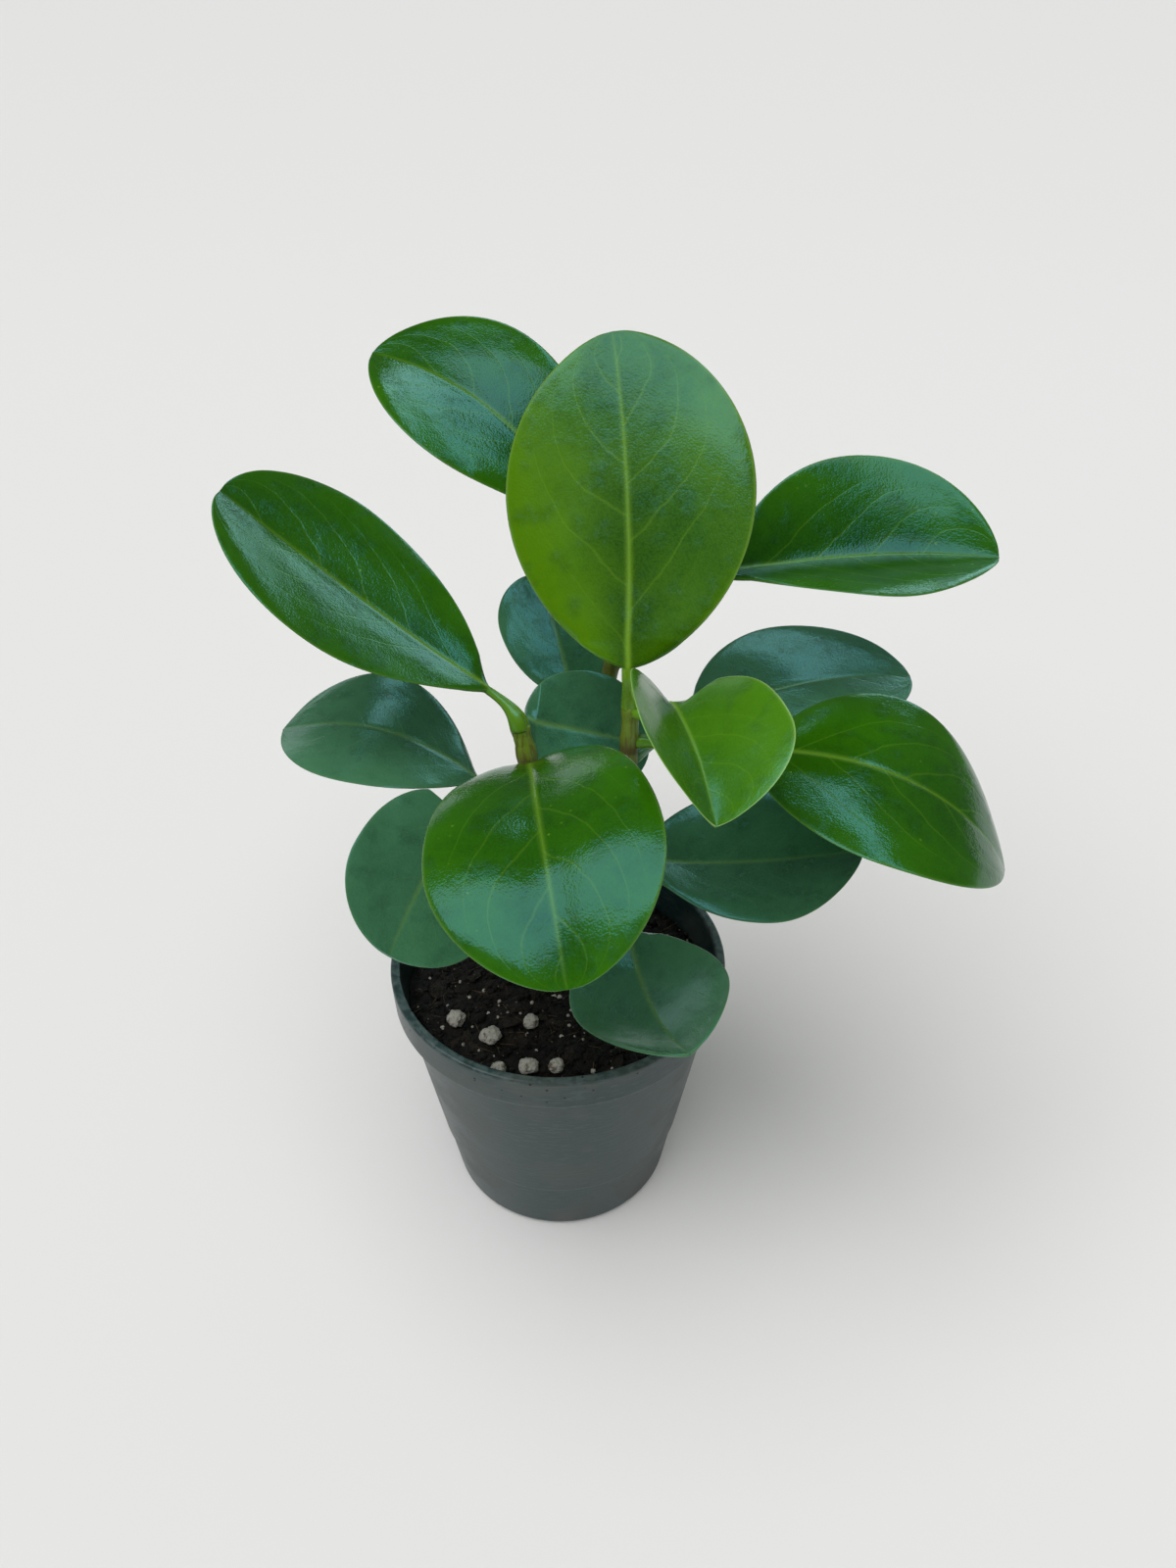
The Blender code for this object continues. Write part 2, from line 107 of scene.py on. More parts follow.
class Tree:
    """A thin wrapper round a node tree that adds nodes and links them in one call."""

    NODE_STEP = 180
    ROW_STEP = 160
    ROWS = 5

    def __init__(self, tree: bpy.types.NodeTree) -> None:
        """Wrap a tree.

        Args:
            tree: the shader or geometry node tree to fill.
        """
        self.tree = tree
        self.count = 0

    def add(self, kind: str, settings: Optional[dict[str, Any]] = None,
            inputs: Optional[dict[Any, Any]] = None) -> bpy.types.Node:
        """Add one node.

        Args:
            kind: the node's Blender type name.
            settings: the node's own properties.
            inputs: socket name or number to a value or to another node's output.

        Returns:
            The new node.
        """
        node = self.tree.nodes.new(kind)
        node.location = (self.count * self.NODE_STEP, -(self.count % self.ROWS) * self.ROW_STEP)
        self.count += 1
        for name, value in (settings or {}).items():
            setattr(node, name, value)
        for key, value in (inputs or {}).items():
            if isinstance(value, Socket):
                self.link(value, node.inputs[key])
            else:
                node.inputs[key].default_value = value
        return node

    def link(self, source: Socket, target: Socket) -> None:
        """Link two sockets."""
        self.tree.links.new(source, target)

    def group(self, group: bpy.types.NodeTree, inputs: dict[str, Any]) -> bpy.types.Node:
        """Place a shader group, with its input values and sockets by name."""
        return self.add("ShaderNodeGroup", {"node_tree": group}, inputs)

    def attribute(self, name: str) -> Socket:
        """Read a number that the mesh carries for each vertex."""
        return self.add("ShaderNodeAttribute", {"attribute_name": name}).outputs["Fac"]

    def math(self, operation: str, first: Any, second: Any = 0.0, clamp: bool = False) -> Socket:
        """Add a Math node.

        Args:
            operation: the Math node's operation.
            first: its first value or socket.
            second: its second value or socket.
            clamp: keep the result between 0 and 1.

        Returns:
            The node's output.
        """
        settings = {"operation": operation, "use_clamp": clamp}
        return self.add("ShaderNodeMath", settings, {0: first, 1: second}).outputs[0]

    def times(self, first: Any, second: Any) -> Socket:
        """Multiply two values or sockets."""
        return self.math("MULTIPLY", first, second)

    def weighted(self, start: Any, *terms: tuple[Any, float], clamp: bool = False) -> Socket:
        """Add sockets to a start, each times its own weight.

        Args:
            start: the first value or socket.
            terms: a socket and its weight, for each that is added.
            clamp: keep the result between 0 and 1.

        Returns:
            The sum's socket.
        """
        total = start
        for number, (socket, weight) in enumerate(terms, 1):
            is_last = number == len(terms)
            total = self.math("ADD", total, self.times(socket, weight), clamp=clamp and is_last)
        return total

    def vector_math(self, operation: str, inputs: dict[Any, Any]) -> Socket:
        """Add a Vector Math node and give its vector output."""
        return self.add("ShaderNodeVectorMath", {"operation": operation}, inputs).outputs[0]

    def mix(self, share: Any, first: Any, second: Any) -> Socket:
        """Mix two colours.

        Args:
            share: how much of the second colour, as a value or a socket.
            first: the first colour or socket.
            second: the second colour or socket.

        Returns:
            The mixed colour's socket.
        """
        node = self.add("ShaderNodeMix", {"data_type": "RGBA", "clamp_factor": True}, {0: share})
        for index, colour in ((6, first), (7, second)):
            if isinstance(colour, Socket):
                self.link(colour, node.inputs[index])
            else:
                node.inputs[index].default_value = (*colour, 1.0)
        return node.outputs[2]

    def layer(self, under: Any, over: Any, mask: Any, strength: float) -> Socket:
        """Lay one colour over another.

        Args:
            under: the colour or socket below.
            over: the colour or socket on top.
            mask: where the top one lies, between 0 and 1.
            strength: how much of it shows where the mask is 1.

        Returns:
            The resulting colour's socket.
        """
        return self.mix(self.times(mask, strength), under, over)

    def ramp(self, value: Socket, low: Any, high: Any, to_low: float = 0.0, to_high: float = 1.0) -> Socket:
        """Map a value smoothly from one range to another, and clamp it.

        Args:
            value: the value to map.
            low: where the change begins.
            high: where it ends.
            to_low: the result at and below low.
            to_high: the result at and above high.

        Returns:
            The mapped value's socket.
        """
        limits = {0: value, 1: low, 2: high, 3: to_low, 4: to_high}
        return self.add("ShaderNodeMapRange", {"interpolation_type": "SMOOTHSTEP"}, limits).outputs[0]


def new_group(name: str, kind: str, inputs: dict[str, Any],
              outputs: dict[str, str]) -> tuple[Tree, Any, Any]:
    """Start a node group with named sockets.

    Args:
        name: the group's name.
        kind: "ShaderNodeTree" or "GeometryNodeTree".
        inputs: each input's default number, or its kind of socket where it has no default.
        outputs: each output's kind of socket.

    Returns:
        The wrapped tree, its input node's outputs and its output node's inputs.
    """
    group = bpy.data.node_groups.new(name, kind)
    for label, value in inputs.items():
        sort = NUMBER_SOCKETS.get(type(value), value)
        socket = group.interface.new_socket(label, in_out="INPUT", socket_type="NodeSocket" + sort)
        if sort != value:
            socket.default_value = value
    for label, sort in outputs.items():
        group.interface.new_socket(label, in_out="OUTPUT", socket_type="NodeSocket" + sort)
    tree = Tree(group)
    return tree, tree.add("NodeGroupInput").outputs, tree.add("NodeGroupOutput").inputs


# ------------------------------------------------------------------ shared shader effects

class Effects:
    """Shader node groups that more than one finish uses. Each is built once."""

    def __init__(self) -> None:
        """Build the groups."""
        self.drift = self._tone_drift()
        self.pebbles = self._pebble_grain()
        self.specks = self._specks()
        self.veins = self._side_veins()

    def blotches(self, tree: Tree, place: Socket, size: float, contrast: float,
                 detail: float = 3.0) -> Socket:
        """Put soft blotches into a material: their size is in millimetres, their share 0 to 1."""
        inputs = {"Vector": place, "Size": size, "Contrast": contrast, "Detail": detail}
        return tree.group(self.drift, inputs).outputs["Share"]

    def grain(self, tree: Tree, place: Socket, size: float, waver: float) -> Socket:
        """Put close-packed rounded bumps into a material: size in millimetres, height 0 to about 1."""
        return tree.group(self.pebbles, {"Vector": place, "Size": size, "Waver": waver}).outputs["Height"]

    def speckle(self, tree: Tree, place: Socket, spacing: float, radius: float, amount: float) -> Socket:
        """Put specks into a material: spacing in millimetres, radius as a share of it, mask 0 to 1."""
        inputs = {"Vector": place, "Spacing": spacing, "Radius": radius, "Amount": amount}
        return tree.group(self.specks, inputs).outputs["Mask"]

    @staticmethod
    def _tone_drift() -> bpy.types.NodeTree:
        """Soft blotches, as in uneven pigment, moisture or dust.

        Returns:
            The group, with a Share output between 0 and 1.
        """
        tree, given, result = new_group(
            "tone_drift", "ShaderNodeTree",
            {"Vector": "Vector", "Size": 10.0, "Detail": 3.0, "Contrast": 1.0},
            {"Share": "Float"})
        scale = tree.math("DIVIDE", 1 / MM, given["Size"])
        cloud = tree.add("ShaderNodeTexNoise", None, {"Vector": given["Vector"], "Scale": scale,
                                                      "Detail": given["Detail"], "Roughness": 0.55})
        spread = tree.times(tree.math("SUBTRACT", cloud.outputs["Fac"], 0.5), given["Contrast"])
        tree.link(tree.weighted(0.5, (spread, 2.0), clamp=True), result["Share"])
        return tree.tree

    @staticmethod
    def _pebble_grain() -> bpy.types.NodeTree:
        """Rounded, close-packed bumps: the cells under a leaf's skin, or moulded grain.

        Returns:
            The group, with a Height output.
        """
        tree, given, result = new_group(
            "pebble_grain", "ShaderNodeTree",
            {"Vector": "Vector", "Size": 1.0, "Waver": 0.3},
            {"Height": "Float"})
        scale = tree.math("DIVIDE", 1 / MM, given["Size"])
        cloud = tree.add("ShaderNodeTexNoise", None, {"Vector": given["Vector"], "Detail": 1.0,
                                                      "Scale": tree.times(scale, 0.6)})
        cells = tree.add("ShaderNodeTexVoronoi", {"feature": "SMOOTH_F1"},
                         {"Vector": given["Vector"], "Scale": scale, "Smoothness": 0.6})
        dome = tree.math("SUBTRACT", 1.0, cells.outputs["Distance"])
        wavering = tree.times(cloud.outputs["Fac"], given["Waver"])
        tree.link(tree.math("ADD", dome, wavering), result["Height"])
        return tree.tree

    @staticmethod
    def _specks() -> bpy.types.NodeTree:
        """Small scattered specks: dust, lime spots or grit.

        Returns:
            The group, with a Mask output.
        """
        tree, given, result = new_group(
            "specks", "ShaderNodeTree",
            {"Vector": "Vector", "Spacing": 3.0, "Radius": 0.1, "Amount": 0.3},
            {"Mask": "Float"})
        scale = tree.math("DIVIDE", 1 / MM, given["Spacing"])
        cells = tree.add("ShaderNodeTexVoronoi", {"feature": "F1"},
                         {"Vector": given["Vector"], "Scale": scale})
        inner = tree.times(given["Radius"], 0.5)
        spot = tree.ramp(cells.outputs["Distance"], inner, given["Radius"], 1.0, 0.0)
        lot = tree.add("ShaderNodeSeparateColor", None, {0: cells.outputs["Color"]}).outputs[0]
        tree.link(tree.times(spot, tree.math("LESS_THAN", lot, given["Amount"])), result["Mask"])
        return tree.tree

    @staticmethod
    def _side_veins() -> bpy.types.NodeTree:
        """Fine side veins that leave the midrib and arch towards the tip.

        Returns:
            The group, with a Line output on the veins and a Panel output between them.
        """
        tree, given, result = new_group(
            "side_veins", "ShaderNodeTree",
            {"Along": 0.5, "Across": 0.0, "Shift": 0.0, "Waver": 0.5, "Count": 5.5, "Width": 0.05,
             "Rise": 0.30, "Arch": 0.42},
            {"Line": "Float", "Panel": "Float"})
        out = tree.math("ABSOLUTE", given["Across"])
        arch = tree.times(tree.math("POWER", out, 3.0), given["Arch"])
        rise = tree.times(out, given["Rise"])
        start = tree.math("SUBTRACT", given["Along"], tree.math("ADD", rise, arch))
        stagger = tree.times(tree.math("SIGN", given["Across"]), 0.21)
        wobble = tree.times(tree.math("SUBTRACT", given["Waver"], 0.5), 0.3)
        offset = tree.math("ADD", given["Shift"], tree.math("ADD", stagger, wobble))
        phase = tree.math("ADD", tree.times(start, given["Count"]), offset)
        apart = tree.math("ABSOLUTE", tree.math("SUBTRACT", tree.math("FRACT", phase), 0.5))
        line = tree.ramp(apart, 0.0, given["Width"], 1.0, 0.0)
        inside = tree.times(tree.ramp(start, -0.02, 0.08), tree.ramp(out, 0.92, 0.60))
        tree.link(tree.times(line, inside), result["Line"])
        tree.link(tree.times(tree.times(apart, 2.0), inside), result["Panel"])
        return tree.tree


def start_material(name: str, constants: dict[str, Any]) -> tuple[bpy.types.Material, Tree, Any, Socket]:
    """Start a Principled material.

    Args:
        name: the material's name.
        constants: Principled inputs that are the same all over.

    Returns:
        The material, its tree, its Principled node's inputs and its Object coordinates.
    """
    material = bpy.data.materials.new(name)
    material.use_nodes = True
    tree = Tree(material.node_tree)
    surface = material.node_tree.nodes["Principled BSDF"].inputs
    for key, value in constants.items():
        surface[key].default_value = value
    return material, tree, surface, tree.add("ShaderNodeTexCoord").outputs["Object"]


def bump(tree: Tree, surface: Any, height: Socket, depth: float, strength: float) -> None:
    """Feed a height into a material's normal.

    Args:
        tree: the material's tree.
        surface: its Principled node's inputs.
        height: the height, 0 to about 1.
        depth: what a height of 1 stands for, in millimetres.
        strength: the Bump node's strength.
    """
    inputs = {"Strength": strength, "Distance": depth * MM, "Height": height}
    tree.link(tree.add("ShaderNodeBump", None, inputs).outputs["Normal"], surface["Normal"])


def shade(colour: Colour, factor: float) -> Colour:
    """Darken or lighten a colour."""
    return tuple(factor * part for part in colour)


# ------------------------------------------------------------------ finishes

@dataclass(frozen=True)
class SkinPattern:
    """The sockets that a leaf's colour, gloss and relief share."""

    place: Socket
    drift: Socket
    mottle: Socket
    quilt: Socket
    cells: Socket
    vein_line: Socket
    vein_panel: Socket
    rib: Socket
    under: Socket


@dataclass(frozen=True)
class LeafFinish:
    """The skin of a leaf: waxy, finely pebbled, with a pale midrib and a thin pale margin."""

    name: str
    deep: Colour
    fresh: Colour
    rib: Colour
    margin: Colour
    underside: Colour
    roughness: float
    sheen_tint: Colour = (0.18, 0.72, 1.0)
    coat_tint: Colour = (0.80, 0.97, 1.0)
    dust: Colour = (0.22, 0.36, 0.08)
    blemish: Colour = (0.01, 0.012, 0.004)
    # Strength of the painted shade that darkens the skin along the midrib's crease.
    midrib_painted_shade: float = 0.35
    vein_strength: float = 0.18
    lime_spots: float = 0.0
    dark_spots: float = 0.05
    coat: float = 0.08
    quilting: float = 0.45
    side_lean: float = 0.08

    def build(self, effects: Effects) -> bpy.types.Material:
        """Make the material.

        Args:
            effects: the shared shader groups.

        Returns:
            The material.
        """
        material, tree, surface, place = start_material(
            self.name, {"IOR": 1.45, "Specular Tint": (*self.sheen_tint, 1.0), "Coat Roughness": 0.09,
                        "Coat Tint": (*self.coat_tint, 1.0)})
        skin = self.pattern(tree, effects, place)
        tree.link(self.colour(tree, effects, skin), surface["Base Color"])
        bloom = tree.times(tree.ramp(skin.quilt, 0.45, 0.85), tree.ramp(skin.mottle, 0.25, 0.75))
        gloss = tree.weighted(self.roughness, (bloom, 0.14), (skin.rib, 0.10), (skin.under, 0.20),
                              clamp=True)
        tree.link(gloss, surface["Roughness"])
        tree.link(tree.times(tree.ramp(skin.under, 1.0, 0.0), self.coat), surface["Coat Weight"])
        crinkle = tree.times(skin.cells, tree.weighted(0.24, (bloom, 0.10)))
        relief = tree.weighted(crinkle, (skin.mottle, 0.22), (skin.quilt, self.quilting),
                               (skin.vein_line, -0.10), (skin.vein_panel, 0.22))
        bump(tree, surface, relief, depth=0.16, strength=0.8)
        return material

    @staticmethod
    def pattern(tree: Tree, effects: Effects, place: Socket) -> SkinPattern:
        """Put the skin's blotches, cells and veins into a material.

        Args:
            tree: the material's tree.
            effects: the shared shader groups.
            place: Object coordinates.

        Returns:
            Their sockets.
        """
        drift = effects.blotches(tree, place, size=24.0, contrast=1.1)
        veins = tree.group(effects.veins, {
            "Along": tree.attribute("along"), "Across": tree.attribute("across"),
            "Shift": tree.attribute("shift"), "Waver": drift}).outputs
        return SkinPattern(
            place, drift,
            mottle=effects.blotches(tree, place, size=2.2, contrast=1.0, detail=4.0),
            quilt=effects.blotches(tree, place, size=8.0, contrast=1.0, detail=1.5),
            cells=effects.grain(tree, place, size=0.55, waver=0.5),
            vein_line=veins["Line"], vein_panel=veins["Panel"],
            rib=tree.attribute("rib"), under=tree.attribute("under"))

    def colour(self, tree: Tree, effects: Effects, skin: SkinPattern) -> Socket:
        """Colour of the skin: pigment drift, painted shade along the midrib, veins, margin, midrib, specks
        and the pale underside.

        Args:
            tree: the material's tree.
            effects: the shared shader groups.
            skin: the skin's pattern.

        Returns:
            The colour's socket.
        """
        across = tree.attribute("across")
        bulge = tree.times(across, across)
        lean = tree.weighted(0.0, (skin.drift, 0.60), (skin.mottle, 0.18), (bulge, 0.30),
                             (across, -self.side_lean), (tree.attribute("tone"), 0.6), clamp=True)
        colour = tree.mix(lean, self.deep, self.fresh)
        colour = tree.layer(colour, shade(self.deep, 0.6), tree.ramp(skin.quilt, 0.5, 0.9), 0.32)
        # Painted shade: the skin darkens along the midrib's crease, most towards the stalk.
        colour = tree.layer(colour, shade(self.deep, 0.5), tree.attribute("band"), self.midrib_painted_shade)
        colour = tree.layer(colour, shade(self.fresh, 1.3), tree.ramp(skin.cells, 0.45, 1.0), 0.16)
        colour = tree.layer(colour, self.fresh, tree.ramp(skin.vein_panel, 0.9, 0.1), 0.10)
        colour = tree.layer(colour, self.rib, skin.vein_line, self.vein_strength)
        colour = tree.layer(colour, self.margin, tree.attribute("margin"), 0.7)
        colour = tree.layer(colour, self.rib, skin.rib, 0.80)
        lime = effects.speckle(tree, skin.place, spacing=2.6, radius=0.20, amount=self.lime_spots)
        colour = tree.layer(colour, self.rib, tree.times(lime, tree.ramp(skin.drift, 0.45, 0.75)), 0.55)
        dust = effects.speckle(tree, skin.place, spacing=1.1, radius=0.12, amount=0.15)
        colour = tree.layer(colour, self.dust, tree.times(dust, tree.ramp(skin.quilt, 0.6, 0.9)), 0.25)
        dark = effects.speckle(tree, skin.place, spacing=12.0, radius=0.035, amount=self.dark_spots)
        colour = tree.layer(colour, self.blemish, dark, 0.9)
        pale = tree.layer(self.underside, self.fresh, skin.mottle, 0.25)
        pale = tree.layer(pale, self.rib, skin.rib, 0.5)
        return tree.mix(skin.under, colour, pale)


@dataclass(frozen=True)
class StemFinish:
    """The skin of a stem: green at the top, red-brown below, with brown nodes and streaks."""

    name: str = "stem_skin_fine"
    green: Colour = (0.14, 0.22, 0.012)
    brown: Colour = (0.055, 0.024, 0.005)
    node: Colour = (0.060, 0.019, 0.005)
    old: Colour = (0.11, 0.08, 0.04)
    pore: Colour = (0.30, 0.27, 0.14)
    sheen_tint: Colour = (0.6, 0.95, 1.0)
    streak_stretch: Point = (1.0, 1.0, 0.12)

    def build(self, effects: Effects) -> bpy.types.Material:
        """Make the material.

        Args:
            effects: the shared shader groups.

        Returns:
            The material.
        """
        material, tree, surface, place = start_material(
            self.name, {"IOR": 1.43, "Specular Tint": (*self.sheen_tint, 1.0)})
        drift = effects.blotches(tree, place, size=9.0, contrast=1.4)
        stretched = tree.vector_math("MULTIPLY", {0: place, 1: self.streak_stretch})
        streak = effects.blotches(tree, stretched, size=1.1, contrast=1.5)
        height = tree.weighted(tree.attribute("along"), (tree.math("SUBTRACT", drift, 0.5), 0.35))
        colour = tree.mix(tree.ramp(height, 0.30, 0.85), self.brown, self.green)
        colour = tree.mix(tree.ramp(height, 0.22, 0.0), colour, self.old)
        colour = tree.layer(colour, self.node, tree.ramp(streak, 0.45, 0.9), 0.5)
        colour = tree.layer(colour, self.node, tree.attribute("node"), 0.75)
        pores = effects.speckle(tree, place, spacing=1.9, radius=0.16, amount=0.3)
        tree.link(tree.layer(colour, self.pore, pores, 0.35), surface["Base Color"])
        tree.link(tree.weighted(0.36, (streak, 0.22)), surface["Roughness"])
        cells = effects.grain(tree, place, size=0.55, waver=0.6)
        bump(tree, surface, tree.weighted(0.0, (cells, 0.4), (streak, 0.9)), depth=0.14, strength=0.8)
        return material


@dataclass(frozen=True)
class PotFinish:
    """Dark green, satin polypropylene with fine grain, scuffs, dust and mix near the rim."""

    name: str = "pot_plastic_fine"
    plastic: Colour = (0.013, 0.036, 0.036)
    scuff: Colour = (0.075, 0.115, 0.112)
    dust: Colour = (0.10, 0.105, 0.095)
    grit: Colour = (0.016, 0.011, 0.007)
    rim_height: float = 90.0
    dusty_height: float = 30.0
    grit_drop: float = 22.0
    grit_full_drop: float = 6.0
    scratch_stretch: Point = (1.0, 1.0, 9.0)

    def build(self, effects: Effects) -> bpy.types.Material:
        """Make the material.

        Args:
            effects: the shared shader groups.

        Returns:
            The material.
        """
        material, tree, surface, place = start_material(self.name, {"IOR": 1.49})
        cloud = effects.blotches(tree, place, size=22.0, contrast=1.2)
        fine_cloud = effects.blotches(tree, place, size=3.0, contrast=1.3, detail=5.0)
        stretched = tree.vector_math("MULTIPLY", {0: place, 1: self.scratch_stretch})
        scratch = effects.blotches(tree, stretched, size=5.0, contrast=1.6, detail=8.0)
        height = tree.add("ShaderNodeSeparateXYZ", None, {0: place}).outputs["Z"]
        rubbed = tree.times(tree.ramp(scratch, 0.60, 0.92), 0.5)
        worn = tree.times(tree.attribute("edge"), tree.ramp(fine_cloud, 0.35, 0.75))
        low = tree.ramp(height, self.dusty_height * MM, 0.0)
        settled = tree.times(tree.ramp(cloud, 0.40, 0.85), tree.weighted(0.30, (low, 0.4)))
        near_rim = tree.ramp(height, (self.rim_height - self.grit_drop) * MM,
                             (self.rim_height - self.grit_full_drop) * MM)
        splash = effects.speckle(tree, place, spacing=2.6, radius=0.2, amount=0.35)
        grit = tree.times(splash, tree.math("ADD", 0.15, near_rim))

        colour = tree.mix(rubbed, self.plastic, self.scuff)
        colour = tree.layer(colour, self.scuff, worn, 0.7)
        colour = tree.mix(settled, colour, self.dust)
        tree.link(tree.layer(colour, self.grit, grit, 0.8), surface["Base Color"])
        gloss = tree.weighted(0.34, (settled, 0.35), (rubbed, 0.25), (grit, 0.3), clamp=True)
        tree.link(gloss, surface["Roughness"])
        grain = effects.grain(tree, place, size=0.45, waver=0.4)
        relief = tree.weighted(0.0, (grain, 0.35), (scratch, 0.5), (grit, 1.5))
        bump(tree, surface, relief, depth=0.06, strength=0.7)
        return material


@dataclass(frozen=True)
class EarthFinish:
    """Moist peat, bark or fibre: dark, rough, with damp patches."""

    name: str
    dark: Colour
    light: Colour
    roughness: float
    grain: float = 0.7
    drift_size: float = 4.0
    grit: Colour = (0.20, 0.16, 0.12)

    def build(self, effects: Effects) -> bpy.types.Material:
        """Make the material.

        Args:
            effects: the shared shader groups.

        Returns:
            The material.
        """
        material, tree, surface, place = start_material(self.name, {"IOR": 1.4})
        cloud = effects.blotches(tree, place, size=self.drift_size, contrast=1.5, detail=5.0)
        damp = effects.blotches(tree, place, size=17.0, contrast=1.3)
        colour = tree.mix(cloud, self.dark, self.light)
        colour = tree.layer(colour, self.dark, damp, 0.45)
        grit = effects.speckle(tree, place, spacing=1.6, radius=0.22, amount=0.16)
        tree.link(tree.layer(colour, self.grit, grit, 0.5), surface["Base Color"])
        tree.link(tree.weighted(self.roughness, (damp, -0.25)), surface["Roughness"])
        crumb = effects.grain(tree, place, size=self.grain, waver=1.0)
        bump(tree, surface, tree.math("ADD", crumb, cloud), depth=0.35, strength=0.9)
        return material


@dataclass(frozen=True)
class PerliteFinish:
    """Expanded mineral: off-white, chalky, pored, with brown stains from the mix."""

    name: str = "perlite_fine"
    chalk: Colour = (0.36, 0.35, 0.31)
    stain: Colour = (0.12, 0.095, 0.07)

    def build(self, effects: Effects) -> bpy.types.Material:
        """Make the material.

        Args:
            effects: the shared shader groups.

        Returns:
            The material.
        """
        material, tree, surface, place = start_material(self.name, {"IOR": 1.5})
        cloud = effects.blotches(tree, place, size=2.6, contrast=1.5, detail=4.0)
        pores = effects.speckle(tree, place, spacing=0.7, radius=0.34, amount=0.45)
        colour = tree.mix(tree.ramp(cloud, 0.55, 0.95), self.chalk, self.stain)
        tree.link(tree.layer(colour, self.stain, pores, 0.55), surface["Base Color"])
        tree.link(tree.weighted(0.72, (cloud, 0.2)), surface["Roughness"])
        bump(tree, surface, tree.weighted(0.0, (cloud, 0.8), (pores, -1.0)), depth=0.25, strength=0.9)
        return material


EARTH_FINISHES = (
    EarthFinish("mix_fine", dark=(0.0035, 0.0032, 0.0034), light=(0.014, 0.011, 0.0095), roughness=0.95),
    EarthFinish("bark_fine", dark=(0.007, 0.005, 0.004), light=(0.026, 0.017, 0.011), roughness=0.85,
                grain=0.5, drift_size=2.0),
    EarthFinish("fibre_fine", dark=(0.035, 0.023, 0.013), light=(0.10, 0.07, 0.04), roughness=0.8,
                grain=0.4, drift_size=2.0),
)

LEAF_FINISHES = {
    LeafAge.YOUNG: LeafFinish(
        "leaf_skin_young", deep=(0.022, 0.110, 0.001), fresh=(0.068, 0.215, 0.002),
        rib=(0.18, 0.36, 0.01), margin=(0.36, 0.58, 0.14), underside=(0.15, 0.32, 0.03),
        roughness=0.24, midrib_painted_shade=0.10, vein_strength=0.16, dark_spots=0.0, coat=0.04),
    LeafAge.BRIGHT: LeafFinish(
        "leaf_skin_bright", deep=(0.012, 0.068, 0.001), fresh=(0.080, 0.205, 0.001),
        rib=(0.19, 0.36, 0.01), margin=(0.18, 0.34, 0.05), underside=(0.15, 0.30, 0.04),
        roughness=0.17, midrib_painted_shade=0.75, side_lean=0.25),
    LeafAge.MATURE: LeafFinish(
        "leaf_skin_mature", deep=(0.006, 0.048, 0.001), fresh=(0.030, 0.135, 0.001),
        rib=(0.14, 0.29, 0.015), margin=(0.10, 0.24, 0.04), underside=(0.12, 0.24, 0.04),
        roughness=0.13, lime_spots=0.25),
    # Painted sheen and painted light: the back leaves' skin is brighter and bluer than the mature one,
    # standing in for the teal sheen and haze on them; a leaf's tone sets how much of the brighter, bluer
    # colour it takes.
    LeafAge.SHADED: LeafFinish(
        "leaf_skin_shaded_painted_sheen", deep=(0.019, 0.088, 0.036), fresh=(0.064, 0.200, 0.098),
        rib=(0.12, 0.25, 0.06), margin=(0.08, 0.20, 0.08), underside=(0.10, 0.20, 0.05),
        roughness=0.18, midrib_painted_shade=0.25, vein_strength=0.10),
}


# ------------------------------------------------------------------ mesh helpers

def set_number(mesh: bpy.types.Mesh, name: str, values: np.ndarray) -> None:
    """Store one number per vertex on a mesh.

    Args:
        mesh: the mesh.
        name: the attribute's name.
        values: a number for each vertex.
    """
    attribute = mesh.attributes.new(name, "FLOAT", "POINT")
    attribute.data.foreach_set("value", np.ascontiguousarray(values, np.float32))


def mesh_from(name: str, points: np.ndarray, faces: Iterable[Sequence[int]]) -> bpy.types.Mesh:
    """Make a smooth mesh.

    Args:
        name: the mesh's name.
        points: vertex places in metres.
        faces: vertex numbers of each face.

    Returns:
        The mesh.
    """
    mesh = bpy.data.meshes.new(name)
    mesh.from_pydata([tuple(point) for point in points], [], [tuple(face) for face in faces])
    mesh.shade_smooth()
    mesh.validate()
    return mesh


def add_piece(name: str, data: bpy.types.ID,
              material: Optional[bpy.types.Material] = None) -> bpy.types.Object:
    """Put a mesh or a curve into the scene at the origin.

    Args:
        name: the object's name.
        data: its mesh or curve.
        material: its only material, if it has one.

    Returns:
        The object.
    """
    piece = bpy.data.objects.new(name, data)
    bpy.context.scene.collection.objects.link(piece)
    if material:
        data.materials.clear()
        data.materials.append(material)
    return piece


def settle(piece: bpy.types.Object, slot: Slot, nodes: Sequence[str] = ()) -> None:
    """Hand a finished piece to the frame.

    Args:
        piece: the piece.
        slot: the record's slot that its finish belongs to.
        nodes: the CAD nodes that it stands for.
    """
    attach(piece, ROOT_BODY)
    if nodes:
        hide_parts(*nodes)
    LOG.info("%s: %d faces, slot %s", piece.name, len(piece.data.polygons), slot.value)


def outward(mesh: bpy.types.Mesh) -> None:
    """Merge a closed mesh's doubles and turn its faces outward.

    Args:
        mesh: the mesh.
    """
    shape = bmesh.new()
    shape.from_mesh(mesh)
    bmesh.ops.remove_doubles(shape, verts=shape.verts, dist=DOUBLES_WITHIN)
    bmesh.ops.recalc_face_normals(shape, faces=shape.faces)
    if shape.calc_volume(signed=True) < 0:
        bmesh.ops.reverse_faces(shape, faces=shape.faces)
    shape.to_mesh(mesh)
    shape.free()


